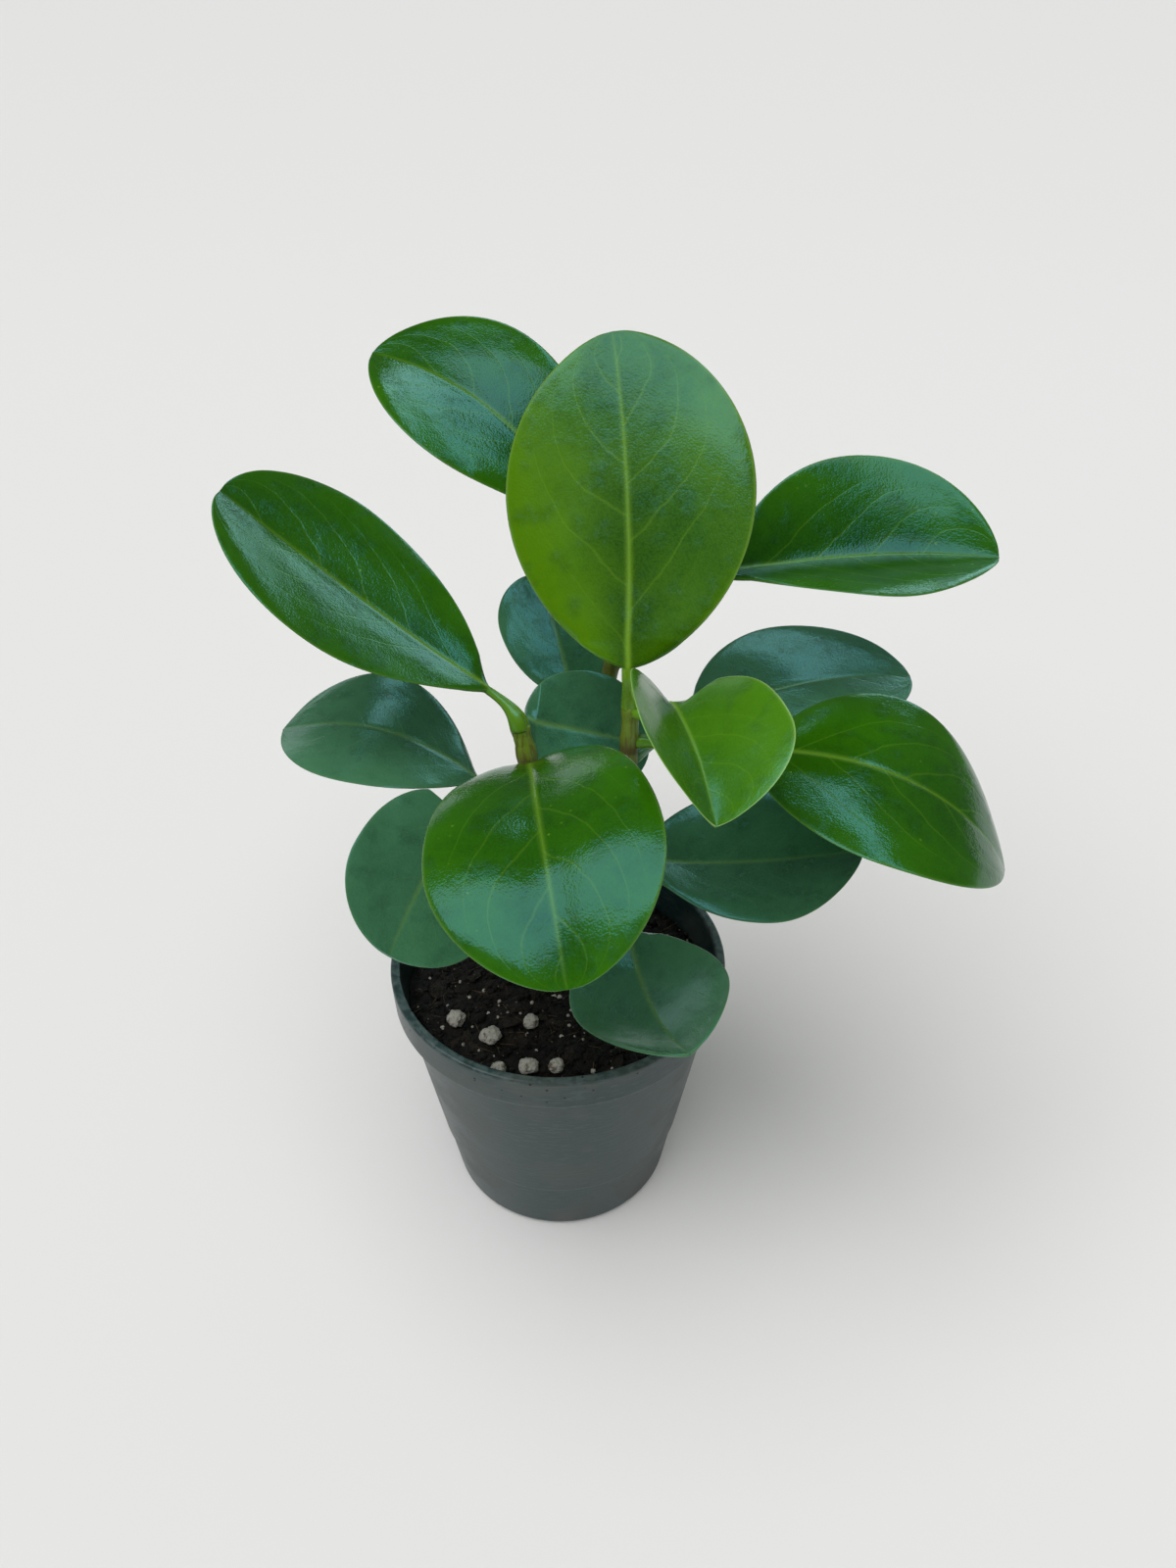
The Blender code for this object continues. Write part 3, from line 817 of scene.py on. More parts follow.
def end_tree(tree: Tree, geometry: Socket, material: Socket, result: Any) -> bpy.types.NodeTree:
    """End a Geometry Nodes tree: make its instances real and give them their material.

    Args:
        tree: the tree.
        geometry: what it has made.
        material: the material's socket.
        result: the inputs of the tree's output node.

    Returns:
        The finished node tree.
    """
    whole = tree.add("GeometryNodeRealizeInstances", None, {"Geometry": geometry})
    dressed = tree.add("GeometryNodeSetMaterial", None,
                       {"Geometry": whole.outputs[0], "Material": material})
    tree.link(dressed.outputs[0], result["Mesh"])
    return tree.tree


def modifier_inputs(modifier: bpy.types.Modifier, values: dict[str, Any]) -> None:
    """Set a Geometry Nodes modifier's inputs by their names.

    Args:
        modifier: the modifier.
        values: input name to value.
    """
    for item in modifier.node_group.interface.items_tree:
        if item.item_type == "SOCKET" and item.in_out == "INPUT" and item.name in values:
            modifier[item.identifier] = values[item.name]


def grown(host: bpy.types.Object, group: bpy.types.NodeTree, values: dict[str, Any],
          name: str) -> bpy.types.Object:
    """Run a Geometry Nodes tree on an object and keep its result as a plain mesh.

    Args:
        host: the object the tree runs on, which is removed afterwards.
        group: the tree.
        values: its named inputs.
        name: the new piece's name.

    Returns:
        The new piece.
    """
    modifier = host.modifiers.new(group.name, "NODES")
    modifier.node_group = group
    modifier_inputs(modifier, values)
    graph = bpy.context.evaluated_depsgraph_get()
    mesh = bpy.data.meshes.new_from_object(host.evaluated_get(graph), preserve_all_data_layers=True,
                                           depsgraph=graph)
    host.modifiers.remove(modifier)
    bpy.data.objects.remove(host)
    return add_piece(name, mesh)


def smoothstep(values: Any, low: float, high: float) -> Any:
    """Rise smoothly from 0 at low to 1 at high.

    Args:
        values: a number or an array.
        low: where the rise begins.
        high: where it ends.

    Returns:
        The same shape, between 0 and 1.
    """
    share = np.clip((np.asarray(values, float) - low) / (high - low), 0, 1)
    return share * share * (3 - 2 * share)


def bell(distance: Any, width: float) -> Any:
    """1 where the distance is 0, falling smoothly to almost nothing at twice the width."""
    return np.exp(-(distance / width) ** 2)


def direction(heading: float, pitch: float) -> np.ndarray:
    """Unit vector for a heading and a pitch in radians."""
    level = math.cos(pitch)
    return np.array([level * math.cos(heading), level * math.sin(heading), math.sin(pitch)])


def circle(radius: float, count: int) -> list[tuple[float, float]]:
    """Points round a circle, counter-clockwise from +X."""
    angles = [2 * math.pi * k / count for k in range(count)]
    return [(radius * math.cos(angle), radius * math.sin(angle)) for angle in angles]


def belt(first: int, count: int, turned: bool = False) -> list[tuple[int, ...]]:
    """Faces between a closed row of points and the row after it.

    Args:
        first: the number of the row's first point.
        count: how many points each row has.
        turned: let the faces look the other way.

    Returns:
        The faces, four points each.
    """
    faces = [(first + k, first + (k + 1) % count, first + count + (k + 1) % count, first + count + k)
             for k in range(count)]
    return [(a, d, c, b) for a, b, c, d in faces] if turned else faces


# ------------------------------------------------------------------ stems

@dataclass(frozen=True)
class StemSpec:
    """A stem: its foot, the points its middle line passes, and its end radii."""

    name: str
    foot: tuple[float, float]
    path: tuple[Point, ...]
    bottom_radius: float
    top_radius: float


@dataclass(frozen=True)
class LeafSpec:
    """A leaf's place, size and shape. Lengths are in millimetres and angles in degrees.

    The heading at the base is counter-clockwise from +X, and turn is how much it changes by the tip.
    The pitch is the blade's rise at its base and tip_pitch at its tip. The roll tips it sideways and the
    fold lifts each half. The cup is the margins' lift as a share of half the width. A taper of 0.5 is an
    ellipse's, and more is more pointed.
    """

    name: str
    stem: str
    node_height: float
    base: Point
    heading: float
    turn: float
    pitch: float
    tip_pitch: float
    roll: float
    length: float
    width: float
    fold: float
    cup: float
    widest: float
    base_taper: float
    tip_taper: float
    age: LeafAge
    tone: float
    stalk_radius: float = 1.4


STEM_SPECS = (
    StemSpec("stem_left", foot=(-2, -5), path=((-3, -4.5, 110), (-6.7, -4, 162), (-9.2, -2.2, 177.5)),
             bottom_radius=3.3, top_radius=2.5),
    StemSpec("stem_middle", foot=(9, 0), path=((14, 0, 108), (20, 0, 158), (21, 0, 183)),
             bottom_radius=3.4, top_radius=2.3),
    StemSpec("stem_back", foot=(5, 18), path=((6, 24, 110), (11, 31, 148), (19, 42, 182)),
             bottom_radius=3.2, top_radius=2.4),
)

LEAF_SPECS = (
    LeafSpec("leaf_crown", stem="stem_middle", node_height=183, base=(20, -2, 195), heading=87, turn=14,
             pitch=60, tip_pitch=45, roll=14, length=90, width=67, fold=4, cup=-0.15, widest=0.52,
             base_taper=0.66, tip_taper=0.61, age=LeafAge.BRIGHT, tone=0.15, stalk_radius=1.7),
    LeafSpec("leaf_right_upper", stem="stem_back", node_height=174, base=(45, 24, 209), heading=22,
             turn=-31, pitch=2, tip_pitch=-1, roll=-21, length=81, width=64, fold=33, cup=-0.08,
             widest=0.55, base_taper=1.02, tip_taper=0.72, age=LeafAge.MATURE, tone=0.05),
    LeafSpec("leaf_left_upper", stem="stem_back", node_height=182, base=(7, 52, 212), heading=152,
             turn=9, pitch=60, tip_pitch=4, roll=20, length=80, width=56, fold=11, cup=-0.03,
             widest=0.58, base_taper=0.99, tip_taper=0.70, age=LeafAge.MATURE, tone=0.15),
    LeafSpec("leaf_young", stem="stem_middle", node_height=181, base=(31, -11, 189), heading=-79,
             turn=-2, pitch=17, tip_pitch=-28, roll=10, length=48, width=58, fold=49, cup=-0.14,
             widest=0.61, base_taper=0.42, tip_taper=0.66, age=LeafAge.YOUNG, tone=0.20,
             stalk_radius=1.2),
    LeafSpec("leaf_right_lower", stem="stem_middle", node_height=171, base=(54, -5, 169), heading=-23,
             turn=18, pitch=24, tip_pitch=-63, roll=-8, length=84, width=65, fold=3, cup=-0.07,
             widest=0.47, base_taper=0.77, tip_taper=0.74, age=LeafAge.MATURE, tone=0.35),
    LeafSpec("leaf_right_back", stem="stem_middle", node_height=164, base=(39.6, 21, 164.2), heading=14,
             turn=-7, pitch=19, tip_pitch=-7, roll=-7, length=68, width=54, fold=7, cup=-0.02,
             widest=0.48, base_taper=0.76, tip_taper=0.63, age=LeafAge.SHADED, tone=0.90),
    LeafSpec("leaf_right_low", stem="stem_middle", node_height=116, base=(25.6, -4, 130.5), heading=7,
             turn=-14, pitch=-10, tip_pitch=18, roll=-4, length=65, width=58, fold=10, cup=-0.01,
             widest=0.54, base_taper=0.64, tip_taper=0.65, age=LeafAge.SHADED, tone=0.0),
    LeafSpec("leaf_front_low", stem="stem_middle", node_height=106, base=(21, -20, 118), heading=-83,
             turn=12, pitch=-9, tip_pitch=33, roll=-7, length=62, width=44, fold=15, cup=0.06,
             widest=0.52, base_taper=0.69, tip_taper=0.66, age=LeafAge.SHADED, tone=0.45),
    LeafSpec("leaf_front", stem="stem_left", node_height=164, base=(-6, -11, 169), heading=-87, turn=10,
             pitch=38, tip_pitch=-46, roll=-13, length=86, width=61, fold=20, cup=-0.23, widest=0.61,
             base_taper=0.83, tip_taper=0.60, age=LeafAge.MATURE, tone=0.30, stalk_radius=1.6),
    LeafSpec("leaf_left", stem="stem_left", node_height=177.5, base=(-18, 5, 184), heading=168, turn=6,
             pitch=34, tip_pitch=42, roll=6, length=86, width=61, fold=13, cup=-0.08, widest=0.61,
             base_taper=0.91, tip_taper=0.49, age=LeafAge.MATURE, tone=0.40, stalk_radius=1.15),
    LeafSpec("leaf_left_middle", stem="stem_left", node_height=148, base=(-22.4, 5, 152.4), heading=177,
             turn=-7, pitch=52, tip_pitch=-24, roll=4, length=62, width=51, fold=2, cup=0.02,
             widest=0.57, base_taper=1.09, tip_taper=0.74, age=LeafAge.SHADED, tone=0.35),
    LeafSpec("leaf_left_low", stem="stem_left", node_height=143, base=(-25.4, -8, 153.7), heading=249,
             turn=6, pitch=-8, tip_pitch=-16, roll=40, length=52, width=44, fold=11, cup=0.01,
             widest=0.62, base_taper=0.45, tip_taper=0.44, age=LeafAge.SHADED, tone=0.45),
    LeafSpec("leaf_back_upper", stem="stem_back", node_height=152, base=(4, 41, 160), heading=105,
             turn=8, pitch=45, tip_pitch=22, roll=-4, length=44, width=37, fold=10, cup=-0.01,
             widest=0.51, base_taper=0.53, tip_taper=0.64, age=LeafAge.SHADED, tone=0.10),
    LeafSpec("leaf_back_middle", stem="stem_left", node_height=169, base=(-8.6, 12.5, 169), heading=8,
             turn=3, pitch=-16, tip_pitch=-22, roll=-42, length=39, width=37, fold=6, cup=-0.01,
             widest=0.52, base_taper=0.36, tip_taper=0.54, age=LeafAge.SHADED, tone=0.05),
)


@dataclass
class Stem:
    """A fleshy stem with swollen nodes, leaf scars and a slightly ribbed skin."""

    spec: StemSpec
    mix_height: float
    root_depth: float = 8.7
    collar_rise: float = 2.0
    swelling: float = 0.35
    node_length: float = 3.0
    scar_drop: float = 2.2
    scar_length: float = 0.9
    stain_length: float = 4.2
    stain_share: float = 0.8
    young_length: float = 3.0
    aged_length: float = 11.0
    unevenness: float = 0.16
    rows: int = 220
    sides: int = 48
    tip_round: float = 1.6
    tip_flat: float = 0.02

    def control_points(self) -> list[np.ndarray]:
        """Place the line's control points.

        Returns:
            The points in millimetres, from the foot in the mix to the top.
        """
        x, y = self.spec.foot
        foot = (x, y, self.mix_height - self.root_depth)
        collar = (x, y, self.mix_height + self.collar_rise)
        return [np.array(point, float) for point in (foot, collar) + self.spec.path]

    def at_share(self, share: float) -> np.ndarray:
        """A point of the middle line, on a smooth curve through the control points.

        Args:
            share: how far along the stem, 0 to 1.

        Returns:
            The point, in millimetres.
        """
        points = self.control_points()
        spans = len(points) - 1
        along = min(max(share, 0.0) * spans, spans - 1e-9)
        i = int(along)
        t = along - i
        p1, p2 = points[i], points[i + 1]
        p0 = points[i - 1] if i else 2 * p1 - p2
        p3 = points[i + 2] if i + 2 <= spans else 2 * p2 - p1
        square = (2 * p0 - 5 * p1 + 4 * p2 - p3) * t * t
        cube = (3 * p1 - p0 - 3 * p2 + p3) * t ** 3
        return 0.5 * (2 * p1 + (p2 - p0) * t + square + cube)

    def share_at_height(self, height: float) -> float:
        """Find how far along the stem a height lies, by halving.

        Args:
            height: the height, in millimetres.

        Returns:
            The share of the stem's length.
        """
        low, high = 0.0, 1.0
        for _ in range(30):
            share = (low + high) / 2
            if self.at_share(share)[2] < height:
                low = share
            else:
                high = share
        return share

    def along(self, share: float) -> np.ndarray:
        """Find the stem's direction.

        Args:
            share: how far along the stem.

        Returns:
            A unit vector along the stem.
        """
        step = 0.01
        way = self.at_share(min(share + step, 1.0)) - self.at_share(max(share - step, 0.0))
        return way / np.linalg.norm(way)

    def node_heights(self) -> list[float]:
        """Heights of the nodes, where leaves leave the stem."""
        return [leaf.node_height for leaf in LEAF_SPECS if leaf.stem == self.spec.name]

    def radius(self, share: float, height: float) -> float:
        """The stem's radius, swollen at its nodes.

        Args:
            share: how far along the stem.
            height: the height there, in millimetres.

        Returns:
            The radius, in millimetres.
        """
        plain = self.spec.bottom_radius + (self.spec.top_radius - self.spec.bottom_radius) * share
        swell = max(max(0.0, 1 - ((height - node) / self.node_length) ** 2) for node in self.node_heights())
        return plain + self.swelling * swell

    def build(self, material: bpy.types.Material, tube: bpy.types.NodeTree,
              seed: float) -> bpy.types.Object:
        """Make the stem's mesh along its line.

        Args:
            material: the stem's finish.
            tube: the Geometry Nodes tree that sweeps a stem.
            seed: shifts the skin's unevenness.

        Returns:
            The piece.
        """
        line = bpy.data.curves.new(self.spec.name + "_line", "CURVE")
        line.dimensions = "3D"
        spline = line.splines.new("POLY")
        spline.points.add(self.rows - 1)
        for i, point in enumerate(spline.points):
            share = i / (self.rows - 1)
            place = self.at_share(share)
            point.co = (*(place * MM), 1.0)
            to_top = (1 - share) * (self.spec.path[-1][2] - self.mix_height)
            blunt = math.sqrt(max(self.tip_flat, 1 - max(0.0, 1 - to_top / self.tip_round) ** 2))
            point.radius = self.radius(share, place[2]) * blunt
        host = add_piece(self.spec.name + "_host", line)
        values = {"Sides": self.sides, "Unevenness": self.unevenness * MM, "Seed": seed,
                  "Material": material}
        piece = grown(host, tube, values, self.spec.name + "_skin")
        self.mark(piece.data)
        outward(piece.data)
        settle(piece, Slot.STEM, [self.spec.name])
        return piece

    def mark(self, mesh: bpy.types.Mesh) -> None:
        """Store how far up each vertex is, and how near a node's ring.

        Args:
            mesh: the stem's mesh.
        """
        heights = np.array([vertex.co.z for vertex in mesh.vertices]) / MM
        top = self.spec.path[-1][2]
        set_number(mesh, "along", np.clip((heights - self.mix_height) / (top - self.mix_height), 0, 1))
        ring = np.zeros(len(heights))
        for node in self.node_heights():
            below = heights - node + self.scar_drop
            scar = bell(below, self.scar_length) + self.stain_share * bell(below, self.stain_length)
            age = float(smoothstep(top - node, self.young_length, self.aged_length))
            ring = np.maximum(ring, np.minimum(scar, 1) * age)
        set_number(mesh, "node", ring)


def stem_tube_tree() -> bpy.types.NodeTree:
    """Geometry Nodes tree that sweeps a round, uneven tube along a curve.

    Returns:
        The tree. A point's radius on the curve is the tube's, in millimetres.
    """
    tree, given, result = new_group(
        "stem_tube", "GeometryNodeTree",
        {"Line": "Geometry", "Sides": 32, "Unevenness": 0.0001, "Seed": 0.0, "Material": "Material"},
        {"Mesh": "Geometry"})
    ring = tree.add("GeometryNodeCurvePrimitiveCircle", {"mode": "RADIUS"},
                    {"Resolution": given["Sides"], "Radius": MM})
    radius = tree.add("GeometryNodeInputRadius").outputs[0]
    swept = tree.add("GeometryNodeCurveToMesh", None,
                     {"Curve": given["Line"], "Profile Curve": ring.outputs[0], "Fill Caps": True})
    if "Scale" in swept.inputs:
        tree.link(radius, swept.inputs["Scale"])
    place = tree.add("GeometryNodeInputPosition").outputs[0]
    flattened = tree.vector_math("MULTIPLY", {0: place, 1: (1.0, 1.0, 0.25)})
    rough = tree.add("ShaderNodeTexNoise", {"noise_dimensions": "4D"},
                     {"Vector": flattened, "W": given["Seed"], "Scale": 420.0, "Detail": 3.0})
    centred = tree.math("SUBTRACT", rough.outputs["Fac"], 0.5)
    push = tree.times(tree.times(centred, 2.0), given["Unevenness"])
    normal = tree.add("GeometryNodeInputNormal").outputs[0]
    offset = tree.vector_math("SCALE", {0: normal, "Scale": push})
    moved = tree.add("GeometryNodeSetPosition", None, {"Geometry": swept.outputs[0], "Offset": offset})
    smooth = tree.add("GeometryNodeSetShadeSmooth", None, {"Geometry": moved.outputs[0]})
    return end_tree(tree, smooth.outputs[0], given["Material"], result)


# ------------------------------------------------------------------ leaves

# The band mark says where painted shade darkens the skin along the midrib's crease.
LEAF_MARKS = ("along", "rib", "across", "margin", "band", "under")


@dataclass(frozen=True)
class Ring:
    """The way round a leaf's cross-section: over its upper face, then back along its lower one.

    Each point has its place across, -1 to 1, whether it is underneath, and its side of the middle
    plane: 1 above, -1 below and 0 on the two margins.
    """

    across: np.ndarray
    under: np.ndarray
    side: np.ndarray

    def marks(self, **marks: Any) -> np.ndarray:
        """Spread marks over the points, a row for each of LEAF_MARKS; one that isn't given is 0."""
        return np.stack([np.broadcast_to(marks.get(name, 0.0), len(self.across)) for name in LEAF_MARKS])


@dataclass
class Leaf:
    """A leaf: a round stalk that widens into a thick, creased blade with a blunt tip."""

    spec: LeafSpec
    stem: Stem
    seed: int
    thickness: float = 1.3
    tip_thinning: float = 0.25
    tip_half_width: float = 0.5
    tip_notch: float = 0.35
    notch_width: float = 2.6
    notch_start: float = 0.93
    rib_share: float = 0.22
    fold_share: float = 0.08
    crease: float = 0.12
    root_inset: float = 0.7
    root_flare: float = 0.45
    flare_length: float = 3.0
    top_flare_length: float = 6.5
    stalk_fullness: float = 1.02
    channel_depth: float = 0.22
    channel_width: float = 0.35
    stalk_rib_mark: float = 0.75
    stalk_rows: int = 26
    blade_rows: int = 104
    side_steps: int = 54
    substeps: int = 4
    rib_width: float = 0.70
    groove: float = 0.30
    groove_width: float = 0.9
    keel: float = 0.9
    keel_width: float = 1.5
    margin_width: float = 0.55
    # Width of the painted shade along the midrib: a share of the half width plus millimetres.
    midrib_shade_share: float = 0.30
    midrib_shade_width: float = 1.5
    ripple: float = 0.3025

    def ring(self) -> Ring:
        """The points round a cross-section, closer together at the midrib and the margins.

        Returns:
            The ring, which every row of the stalk and the blade follows.
        """
        even = np.linspace(-1, 1, self.side_steps + 1)
        top = np.sin(math.pi / 2 * even * (0.4 + 0.6 * even * even))
        under = np.concatenate([np.zeros(len(top)), np.ones(len(top) - 2)])
        side = np.where(under > 0, -1.0, 1.0)
        side[0] = side[self.side_steps] = 0.0
        return Ring(np.concatenate([top, top[-2:0:-1]]), under, side)

    def half_width(self, share: float) -> float:
        """Half the blade's width along it, with its own taper at each end.

        Args:
            share: how far along the blade, 0 to 1.

        Returns:
            The half width, in millimetres.
        """
        spec = self.spec
        toward_base = np.clip(1 - share / spec.widest, 0, 1)
        toward_tip = np.clip((share - spec.widest) / (1 - spec.widest), 0, 1)
        narrowing = (1 - toward_base ** 2) ** spec.base_taper * (1 - toward_tip ** 2) ** spec.tip_taper
        return float(spec.width / 2 * narrowing)

    def angles(self, share: float) -> tuple[float, float]:
        """Heading and pitch of the midrib, in radians, at a share of the blade."""
        heading, pitch = self.spec.heading, self.spec.pitch
        return (math.radians(heading + self.spec.turn * share),
                math.radians(pitch + (self.spec.tip_pitch - pitch) * share))

    def root(self) -> tuple[np.ndarray, np.ndarray]:
        """Where the stalk starts inside its stem, and the way it leaves it.

        Returns:
            A point in millimetres and a unit vector.
        """
        stem_top = self.stem.spec.path[-1][2]
        share = self.stem.share_at_height(min(self.spec.node_height, stem_top))
        middle, way = self.stem.at_share(share), self.stem.along(share)
        if self.spec.node_height >= stem_top:
            return middle - way * self.root_inset * 2, way
        toward = np.array(self.spec.base, float) - middle
        out = toward - way * np.dot(toward, way)
        out /= np.linalg.norm(out)
        return middle + out * (self.stem.radius(share, middle[2]) - self.root_inset), out

    def stalk_line(self) -> tuple[np.ndarray, np.ndarray]:
        """Middle points of the stalk and its directions there, from inside the stem to the blade.

        Returns:
            Points in millimetres and unit vectors.
        """
        root, out = self.root()
        base = np.array(self.spec.base, float)
        reach = np.linalg.norm(base - root)
        first = root + out * reach * 0.4
        last = base - direction(*self.angles(0.0)) * reach * 0.35
        t = (np.arange(self.stalk_rows) / self.stalk_rows)[:, None]
        rest = 1 - t
        points = root * rest ** 3 + first * 3 * t * rest ** 2 + last * 3 * t * t * rest + base * t ** 3
        ways = (first - root) * rest ** 2 + (last - first) * 2 * t * rest + (base - last) * t * t
        return points, ways / np.linalg.norm(ways, axis=1)[:, None]

    def flare(self) -> tuple[float, float]:
        """Find how the stalk widens at its root.

        Returns:
            How much thicker it is there, as a share, and the length over which that fades.
        """
        top = self.stem.spec.path[-1][2]
        if self.spec.node_height < top:
            return self.root_flare, self.flare_length
        return self.stem.radius(1.0, top) / self.spec.stalk_radius - 1, self.top_flare_length

    def stalk_rows_of(self, ring: Ring) -> list[tuple[np.ndarray, np.ndarray]]:
        """Rows of the stalk, round, with a shallow channel along the top.

        Args:
            ring: the points round each row.

        Returns:
            The points in millimetres and the marks of each row.
        """
        middles, ways = self.stalk_line()
        heading = self.angles(0.0)[0]
        level = np.array([math.sin(heading), -math.cos(heading), 0.0])
        distances = np.arange(self.stalk_rows) * np.linalg.norm(middles[-1] - middles[0]) / self.stalk_rows
        flare_share, flare_length = self.flare()
        marks = ring.marks(along=-0.02, rib=self.stalk_rib_mark)
        rows = []
        for middle, way, distance in zip(middles, ways, distances):
            side = level - way * np.dot(level, way)
            side /= np.linalg.norm(side)
            up = np.cross(side, way)
            flare = flare_share * bell(distance, flare_length)
            radius = self.spec.stalk_radius * (self.stalk_fullness + flare)
            channel = self.channel_depth * bell(ring.across, self.channel_width) * (ring.under == 0)
            height = radius * (ring.side * np.sqrt(np.maximum(0, 1 - ring.across ** 2)) - channel)
            rows.append((middle + side * (radius * ring.across)[:, None] + up * height[:, None], marks))
        return rows

    def blade_line(self, shares: np.ndarray) -> np.ndarray:
        """Middle points of the blade, along its bend and its turn.

        Args:
            shares: how far along the blade each point is.

        Returns:
            The points, in millimetres.
        """
        place = np.array(self.spec.base, float)
        points = [place.copy()]
        for low, high in zip(shares[:-1], shares[1:]):
            step = (high - low) / self.substeps
            for k in range(self.substeps):
                place = place + direction(*self.angles(low + step * (k + 0.5))) * self.spec.length * step
            points.append(place.copy())
        return np.array(points)

    def blade_axes(self, share: float) -> tuple[np.ndarray, np.ndarray, np.ndarray]:
        """Find the directions of the rolled blade.

        Args:
            share: how far along the blade.

        Returns:
            The way along it, its side and its upward normal.
        """
        heading, pitch = self.angles(share)
        way = direction(heading, pitch)
        flat_side = np.array([math.sin(heading), -math.cos(heading), 0.0])
        flat_up = np.cross(flat_side, way)
        roll = math.radians(self.spec.roll) * min(share / self.fold_share, 1)
        return (way, flat_side * math.cos(roll) + flat_up * math.sin(roll),
                flat_up * math.cos(roll) - flat_side * math.sin(roll))

    def ripples(self, share: float, across: np.ndarray) -> np.ndarray:
        """Slow unevenness of the blade, in millimetres, stronger towards the margins.

        Args:
            share: how far along the blade.
            across: how far across.

        Returns:
            The lift along the blade's normal.
        """
        shift = 1.7 * self.seed
        wave = (np.sin(5.1 * share + 2.3 * across + shift)
                + 0.6 * np.sin(9.7 * share - 3.1 * across + 2.1 * shift)
                + 0.35 * np.sin(15.3 * share + 6.7 * across * across + 0.6 * shift))
        body = 0.25 + 0.75 * across * across
        return self.ripple * wave * body * smoothstep(share, 0.0, 0.2) * smoothstep(share, 1.0, 0.9)

    def skin_height(self, ring: Ring, share: float, out_mm: np.ndarray) -> np.ndarray:
        """Height of the blade's two faces over its middle sheet, with the groove and the keel.

        Args:
            ring: the points round the row.
            share: how far along the blade.
            out_mm: distance of each point from the midrib, in millimetres.

        Returns:
            The heights, in millimetres.
        """
        ease = float(smoothstep(share, 0.0, self.rib_share * 1.2))
        thin = self.thickness / 2 * (1 - self.tip_thinning * share)
        body = np.maximum(0, 1 - np.abs(ring.across) ** (2 + 2 * ease)) ** 0.5
        rise = (self.spec.stalk_radius * (1 - ease) + thin * ease) * body
        fade = self.rib_fade(share) * ease
        keel = self.keel * fade * bell(out_mm, self.keel_width)
        groove = self.groove * fade * bell(out_mm, self.groove_width)
        return ring.side * rise - np.where(ring.under > 0, keel, groove)

    def rib_fade(self, share: float) -> float:
        """How strong the midrib still is at a share of the blade, 1 at its base and 0 at its tip."""
        return (1 - share) ** 0.8

    def blade_row(self, ring: Ring, share: float, middle: np.ndarray) -> tuple[np.ndarray, np.ndarray]:
        """One row of the blade.

        Args:
            ring: the points round the row.
            share: how far along the blade.
            middle: the blade's middle point there.

        Returns:
            The row's points in millimetres and its marks.
        """
        spec = self.spec
        wide = self.half_width(share)
        round_stalk = spec.stalk_radius * max(0.0, 1 - share / self.rib_share)
        half = max(math.sqrt(wide ** 2 + round_stalk ** 2), self.tip_half_width)
        out_mm = ring.across * half
        fold = math.radians(spec.fold) * min(share / self.fold_share, 1)
        hinge = np.sqrt(ring.across ** 2 + self.crease ** 2) - self.crease
        cup = spec.cup * wide * wide / (spec.width / 2) * ring.across ** 2
        lift = half * hinge * math.sin(fold) + cup + self.ripples(share, ring.across)
        height = lift + self.skin_height(ring, share, out_mm)
        notch = self.tip_notch * smoothstep(share, self.notch_start, 1.0) * bell(out_mm, self.notch_width)
        way, side, up = self.blade_axes(share)
        places = middle + side * (out_mm * math.cos(fold))[:, None] + up * height[:, None]
        places -= way * notch[:, None]

        fade = self.rib_fade(share)
        edge_mm = (1 - np.abs(ring.across)) * half
        # The band mark holds the painted shade along the midrib's crease, fading towards the tip.
        marks = ring.marks(
            along=share, across=ring.across, margin=bell(edge_mm, self.margin_width),
            rib=bell(out_mm, self.rib_width * (0.55 + 0.7 * fade)) * fade ** 0.5,
            band=bell(out_mm, self.midrib_shade_share * half + self.midrib_shade_width) * (1 - share) ** 0.7,
            under=ring.under * smoothstep(edge_mm, 0.1, 0.7))
        return places, marks

    def build(self, material: bpy.types.Material) -> bpy.types.Object:
        """Make the leaf's mesh.

        Args:
            material: the leaf's finish.

        Returns:
            The piece.
        """
        ring = self.ring()
        shares = (1 - np.cos(math.pi * np.arange(self.blade_rows + 1) / self.blade_rows)) / 2
        middles = self.blade_line(shares)
        rows = self.stalk_rows_of(ring)
        rows += [self.blade_row(ring, share, middle) for share, middle in zip(shares, middles)]
        count, total = len(ring.across), len(rows)
        faces = [face for row in range(total - 1) for face in belt(row * count, count)]
        faces += [tuple(range(count)), tuple(range((total - 1) * count, total * count))]
        points = np.concatenate([places for places, _ in rows]) * MM
        mesh = mesh_from(self.spec.name + "_skin", points, faces)
        for name, values in zip(LEAF_MARKS, np.concatenate([marks for _, marks in rows], axis=1)):
            set_number(mesh, name, values)
        set_number(mesh, "tone", np.full(len(points), self.spec.tone))
        set_number(mesh, "shift", np.full(len(points), 0.37 * self.seed))
        outward(mesh)
        piece = add_piece(self.spec.name + "_skin", mesh, material)
        settle(piece, Slot.LEAF, [self.spec.name])
        return piece


# ------------------------------------------------------------------ pot

